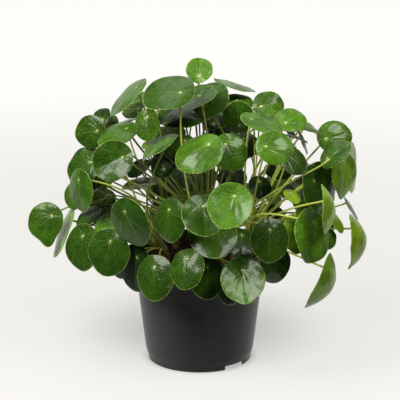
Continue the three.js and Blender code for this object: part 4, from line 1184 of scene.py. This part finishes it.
# The sizes of the patterns in millimetres, and how fine their detail is.
LEAF_PATTERNS = {"clouds": (23.81, 1.5), "mottles": (2.5, 3), "bends": (22.22, 1), "pebbles": (3.448, 2)}
for name, side in LEAF_SIDES.items():
    material, tree, skin, place = new_material(name, **side["shader"])
    look = add_node(tree, "Attribute", {}, attribute_name="leaf_look")["Color"]
    look = add_node(tree, "SeparateColor", {"Color": look})
    where = add_node(tree, "UVMap", {}, uv_map="blade_map")["UV"]
    parts = add_node(tree, "SeparateXYZ", {"Vector": where})
    out = add_node(tree, "VectorMath", {"Vector": where}, operation="LENGTH")["Value"]
    aside = add_node(tree, "Math", {0: parts["Y"]}, operation="ABSOLUTE")["Value"]
    edge = add_node(tree, "Attribute", {}, attribute_name="edge")["Fac"]
    noise = {}
    for pattern, (size, detail) in LEAF_PATTERNS.items():
        size = {"Vector": place, "Scale": 1000 / size, "Detail": detail}
        noise[pattern] = add_node(tree, "TexNoise", size)["Fac"]

    # Ten faint veins fan from the hub, a little bent.
    fan = add_node(tree, "Math", {0: parts["Y"], 1: parts["X"]}, operation="ARCTAN2")["Value"]
    fan = add_node(tree, "Math", {0: noise["bends"], 1: VEIN_BEND, 2: fan}, operation="MULTIPLY_ADD")["Value"]
    for step, other in (("MULTIPLY", VEIN_PAIRS), ("SINE", 0.0), ("MULTIPLY", out), ("ABSOLUTE", 0.0)):
        fan = add_node(tree, "Math", {0: fan, 1: other}, operation=step)["Value"]

    # The tissue is paler the younger it is and darker where its look paints shade, darkens in broad clouds
    # and is flecked with fine mottles, more on some leaves. Over it lie the veins, the midrib that runs on
    # from the hub to the tip, the rim, which is a thin pale line broken here and there, and the hub, a small
    # dot in a soft halo.
    age, chance, mottles = look["Red"], look["Green"], noise["mottles"]
    fleck, most = side["mottles"]
    tipward = [(parts["X"], 0, 0.5, 1, 0.2), (parts["X"], 0, 0.0001, 0, 1)]
    layers = [
        (side["young"], (age, 0, 1, 0, 1)),
        (side["newest"], (age, 0.6, 1, 0, 0.6)),
        (side["old_and_shaded"], (noise["clouds"], 0.36, 0.6, 0.45, 0, EASED)),
        (fleck, (mottles, 0.5, 0.72, 0, 1, EASED), (chance, 0, 1, most / 4, most), (age, 0, 0.4, 0.4, 1)),
        (side["vein"], (fan, 0.01, 0.05, side["veins"], 0, EASED)),
        (side["vein"], (aside, 0.003, 0.012, side["midrib"], 0, EASED), *tipward),
        (side["rim"][0], (edge, 0.962, 0.99, 0, side["rim"][1], EASED), (mottles, 0.42, 0.6, 0.25, 1)),
        (fleck, (out, 0.012, 0.06, 0.22, 0, EASED)),
        (side["dot"][0], (out, 0.007, 0.016, side["dot"][1], 0, EASED)),
    ]
    lay_colours(tree, skin, side["old_and_shaded"], layers)

    # The cuticle is a little pebbled, and duller on the mottles.
    dull = {"Value": mottles, "From Min": 0.35, "From Max": 0.7}
    dull.update({"To Min": side["roughness"][0], "To Max": side["roughness"][1]})
    tree.links.new(add_node(tree, "MapRange", dull)["Result"], skin["Roughness"])
    waxed = {"Value": age, "From Max": 0.2, "To Min": side["coat"][0], "To Max": side["coat"][1]}
    tree.links.new(add_node(tree, "MapRange", waxed)["Result"], skin["Coat Weight"])
    pebbles = {"Height": noise["pebbles"], "Strength": 0.85, "Distance": 0.0013}
    pebbles = add_node(tree, "Bump", pebbles)["Normal"]
    tree.links.new(pebbles, skin["Normal"])
    disc.data.materials.append(material)
for face in disc.data.polygons:
    sides = [disc_side[point] for point in face.vertices]
    face.material_index = 0 if sum(sides) > 0 else 1


# The buds: each crown ends in a few furled young leaves, soft and yellow-green, that stand upright round
# its tip on short stalks of their own. They are blades like the others, folded nearly shut.
BUDS = 4
BUD_LEAF = 13
BUD_RING = 2
BUD_HUB = 9
BUD_ROOT = 4
BUD_BEND = 3
BUD_SHRINK = 2
BUD_TILT = 0.3
BUD_SPREAD = 0.15
BUD = {"age": "young", "point": 0.1, "skew": 0, "ribs": 1, "cup": 0.1, "fold": 0.9, "wave": 0, "waves": 3}
buds = []
for stem in stems.values():
    for i in range(BUDS):
        turn = i * GOLDEN_ANGLE
        out = np.array([math.cos(turn), math.sin(turn), 0])
        bud = SimpleNamespace(length=BUD_LEAF - BUD_SHRINK * i, phase=turn, grown_on=stem.name, **BUD)
        centre = stem.top + out * (BUD_RING + i) + [0, 0, BUD_HUB]
        place_blade(bud, centre, -out + [0, 0, BUD_TILT], out * BUD_SPREAD + [0, 0, 1])
        hub = blade_points(bud, 0, 0, -HUB_DIMPLE)
        root = stem.top + out * BUD_RING - [0, 0, BUD_ROOT]
        bud.stalk = [root, root + [0, 0, BUD_BEND], hub - bud.z * BUD_BEND, hub]
        buds.append(bud)


# The leaf stalks: round, firm and smooth, dark olive to yellow-green by a tone that differs a little at
# random
# and is set for each stem: the darker olive of the stems that stand in the plant's shade is painted shade.
# Each is grown from the crown with a swollen foot and narrows to the hub under its blade.
STALK_SIDES = 8
STALK_RINGS = 22
STALK_WIDTH = 1.35
STALK_FOOT = 1.1
STALK_NECK = 0.35
STALK_THINNEST = 0.55
FULL_AT = 130
FOOT_FADE = 12
NECK_FADE = 16
TONE_SPREAD = 0.25
# The tone of each stem's stalks: the lower ones paint the shade that the left, middle and back stems stand
# in.
STALK_TONES_AND_SHADE = {"right": 1.0, "front": 0.55, "middle": 0.2, "left": 0.25, "back_right": 0.3, "back_left": 0.2}


def make_rod(name, sides, rings):
    """A smooth straight rod of evenly spaced rings, its points, and the ring that each point is on."""
    rod = turn_profile(name, [[1, k] for k in range(rings + 1)], sides)
    rod.data.shade_smooth()
    places = places_of(rod)
    return rod, places, np.rint(places[:, 2]).astype(int)


def bent_copy(rod, name, centres, asides, across, widths):
    """A copy of a rod with its rings moved to other centres and turned, each point at its own width."""
    straight, places, rings = rod
    piece = copy_of(straight, name)
    turned = places[:, :1] * asides[rings] + places[:, 1:2] * across[rings]
    move_points(piece, centres[rings] + turned * widths[:, None])
    return piece


stalk_rod = make_rod("stalk_rod", STALK_SIDES, STALK_RINGS)
stalk_rings = stalk_rod[2]


def frames_along(curve, shares, aside):
    """Centres on a curve and two directions across it at each, turned as little as they can be."""
    centres = bezier_points(curve, shares)
    tangents = np.gradient(centres, shares, axis=0)
    asides = np.empty_like(centres)
    for k in range(len(shares) - 1, -1, -1):
        tangents[k] = unit(tangents[k])
        aside = unit(aside - tangents[k] * (aside @ tangents[k]))
        asides[k] = aside
    return centres, asides, np.cross(tangents, asides)


def shape_stalk(leaf, name):
    """A copy of the rod, bent and tapered as one leaf's stalk."""
    shares = np.arange(STALK_RINGS + 1) / STALK_RINGS
    centres, asides, across = frames_along(leaf.stalk, shares, leaf.x)
    size = min(1, STALK_THINNEST + leaf.length / FULL_AT)
    widths = STALK_WIDTH + STALK_FOOT * np.exp(-shares * FOOT_FADE)
    widths += STALK_NECK * np.exp((shares - 1) * NECK_FADE)
    stalk = bent_copy(stalk_rod, name, centres, asides, across, size * widths[stalk_rings])
    add_point_values(stalk, "along", shares[stalk_rings])
    tone = STALK_TONES_AND_SHADE[leaf.grown_on] + TONE_SPREAD * (leaf.phase * 3.7 % 1)
    add_point_values(stalk, "stalk_tone_and_shade", np.full(len(stalk_rings), min(1, tone)))
    return stalk


# The stalk's firm, moist skin has a satin gloss and pale streaks, and it is brown at the foot.
STREAK = 3.846
stalk_skin, tree, skin, place = new_material("smooth_green_stalk", IOR=1.45, Roughness=0.36)
tone = add_node(tree, "Attribute", {}, attribute_name="stalk_tone_and_shade")["Fac"]
along = add_node(tree, "Attribute", {}, attribute_name="along")["Fac"]
streaks = add_node(tree, "TexNoise", {"Vector": place, "Scale": 1000 / STREAK, "Detail": 2.0})["Fac"]
layers = [
    # yellow-green by the stalk's tone, whose dark olive end is partly painted shade
    (0xDDEC62, (tone, 0, 1, 0, 1)),
    (0xD6DE82, (streaks, 0.45, 0.7, 0, 0.4)),
    (0x8A7440, (along, 0, 0.16, 0.75, 0)),
]
lay_colours(tree, skin, 0x5C6A26, layers)
stalk_rod[0].data.materials.append(stalk_skin)


# The trunks under the crowns: woody, each grown up out of the soil, with the rounded scars of fallen leaves
# in their spiral and a blunt tip among the stalks.
TRUNK_SIDES = 20
TRUNK_RINGS = 56
BURIED_RINGS = 12
TIP_RISES = np.array([[1.2], [2.4], [3.4], [4.0]])
TIP_ROUND = 5
SCAR_STEP = 4.6
SCAR_DEPTH = 0.55
SCAR_WIDE = 3.4
SCAR_HIGH = 2.1
BARK_SWELL = 0.25
BARK_RIB = 0.15
trunk_rod = make_rod("trunk_rod", TRUNK_SIDES, TRUNK_RINGS)
trunk_places, trunk_rings = trunk_rod[1:]
trunk_angles = np.arctan2(trunk_places[:, 1], trunk_places[:, 0])


def shape_trunk(stem):
    """A copy of the rod, run from the stem's foot in the soil up its curve to a rounded crown."""
    foot = np.array([stem.curve[0][0], stem.curve[0][1], STEM_FOOT])
    buried = foot + (stem.curve[0] - foot) * np.linspace(0, 1, BURIED_RINGS + 1)[:-1, None]
    curved = bezier_points(stem.curve, np.linspace(0, 1, TRUNK_RINGS + 1 - BURIED_RINGS - len(TIP_RISES)))
    tip = curved[-1] + unit(curved[-1] - curved[-2]) * TIP_RISES
    centres = np.concatenate([buried, curved, tip])
    steps = np.sqrt((np.diff(centres, axis=0) ** 2).sum(1))
    heights = np.concatenate([[0], np.cumsum(steps)])
    left = (heights[-1] - heights) / TIP_ROUND
    height = heights[trunk_rings]
    bark = BARK_SWELL * np.sin(height * 1.37) + BARK_RIB * np.sin(3 * trunk_angles + height)
    for i in range(int(heights[-1] / SCAR_STEP)):
        turn = trunk_angles - i * GOLDEN_ANGLE
        arc = LEANING_RADIUS * ((turn + math.pi) % (2 * math.pi) - math.pi)
        spot = (arc / SCAR_WIDE) ** 2 + ((height - i * SCAR_STEP) / SCAR_HIGH) ** 2
        bark += SCAR_DEPTH * (np.exp(-((spot - 1.3) ** 2) / 0.4) - 0.8 * np.exp(-spot * 2))
    tangents = np.gradient(centres, axis=0)
    tangents /= np.sqrt((tangents**2).sum(1))[:, None]
    asides = RIGHT - tangents * (tangents @ RIGHT)[:, None]
    asides /= np.sqrt((asides**2).sum(1))[:, None]
    widths = LEANING_RADIUS * np.sqrt(1 - np.clip(1 - left, 0, 0.98) ** 2)[trunk_rings]
    widths += bark * np.clip(left, 0, 1)[trunk_rings]
    name = f"trunk_{stem.name}"
    trunk = bent_copy(trunk_rod, name, centres, asides, np.cross(tangents, asides), widths)
    add_point_values(trunk, "along", (heights / heights[-1])[trunk_rings])
    return trunk


# The bark is rough and dull, mottled brown below and greener toward the crown.
BARK_PATCH = 4.545
bark_skin, tree, skin, place = new_material("scarred_green_bark", Roughness=0.75)
patches = add_node(tree, "TexNoise", {"Vector": place, "Scale": 1000 / BARK_PATCH, "Detail": 4.0})["Fac"]
along = add_node(tree, "Attribute", {}, attribute_name="along")["Fac"]
layers = [(0x8B7550, (patches, 0.35, 0.65, 0, 1)), (0x7F8A45, (along, 0.55, 0.95, 0, 1))]
lay_colours(tree, skin, 0x4A3A26, layers)
ridges = add_node(tree, "Bump", {"Height": patches, "Strength": 0.5, "Distance": 0.0008})["Normal"]
tree.links.new(ridges, skin["Normal"])
trunk_rod[0].data.materials.append(bark_skin)


# The scales: a dry brown sheath stays at the foot of each stalk, thin as paper, and hugs it from outside.
# It gives the crown its ragged, fibrous look. Each is a flattened cone, grown on with its stalk.
SCALE_LENGTH = 7
SCALE_WIDTH = 2.4
SCALE_THICK = 0.7
SCALE_OFF = 2.1
SCALE_FLARE = 1.2
SCALE_TAPER = 0.3
FIBRE = 2
deselect_all()
bpy.ops.mesh.primitive_cone_add(vertices=6, radius1=1, radius2=0.05, depth=1, end_fill_type="TRIFAN")
scale_cone = name_piece("scale_cone")
scale_places = np.array([point.co for point in scale_cone.data.vertices], dtype=float)
scale_skin, tree, skin, place = new_material("papery_brown_scale", Roughness=0.8)
fibres = add_node(tree, "TexNoise", {"Vector": place, "Scale": 1000 / FIBRE, "Detail": 2.0})["Fac"]
lay_colours(tree, skin, 0x6B4E2C, [(0xB39A66, (fibres, 0.35, 0.65, 0, 1))])
scale_cone.data.materials.append(scale_skin)


def shape_scale(leaf, name):
    """A papery scale that hugs the foot of a stalk on its outer side."""
    foot, higher = bezier_points(leaf.stalk, [0, 0.04])
    rise = unit(higher - foot)
    down = unit(np.array([0, 0, -1]) + rise * rise[2])
    side = np.cross(rise, down)
    x, y, z = scale_places[:, :1], scale_places[:, 1:2], scale_places[:, 2:] + 0.5
    scale = copy_of(scale_cone, name)
    root = foot + down * (SCALE_OFF + SCALE_THICK * x + SCALE_FLARE * z * z)
    move_points(scale, root + side * SCALE_WIDTH * y * (1 - SCALE_TAPER * z) + rise * SCALE_LENGTH * z)
    return scale


# Each leafy stem is one growth. Its blades, its stalks, and its trunk with the scales are a piece each.
for stem in stems.values():
    grown = [leaf for leaf in leaves + buds if leaf.grown_on == stem.name]
    node = f"leafy_stem_{stem.name}"
    blades = join([shape_blade(leaf, f"blade_{i}") for i, leaf in enumerate(grown)], f"{node}_blades")
    stalks = join([shape_stalk(leaf, f"stalk_{i}") for i, leaf in enumerate(grown)], f"{node}_stalks")
    feet = [shape_scale(leaf, f"scale_{i}") for i, leaf in enumerate(grown) if leaf not in buds]
    trunk = join([shape_trunk(stem), *feet], f"{node}_trunk")
    for piece, slot in ((blades, "leaf"), (stalks, "leaf_stalk"), (trunk, "woody_stem")):
        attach(piece, "root")
        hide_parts(node)
for master in (disc, stalk_rod[0], trunk_rod[0], scale_cone):
    bpy.data.objects.remove(master)
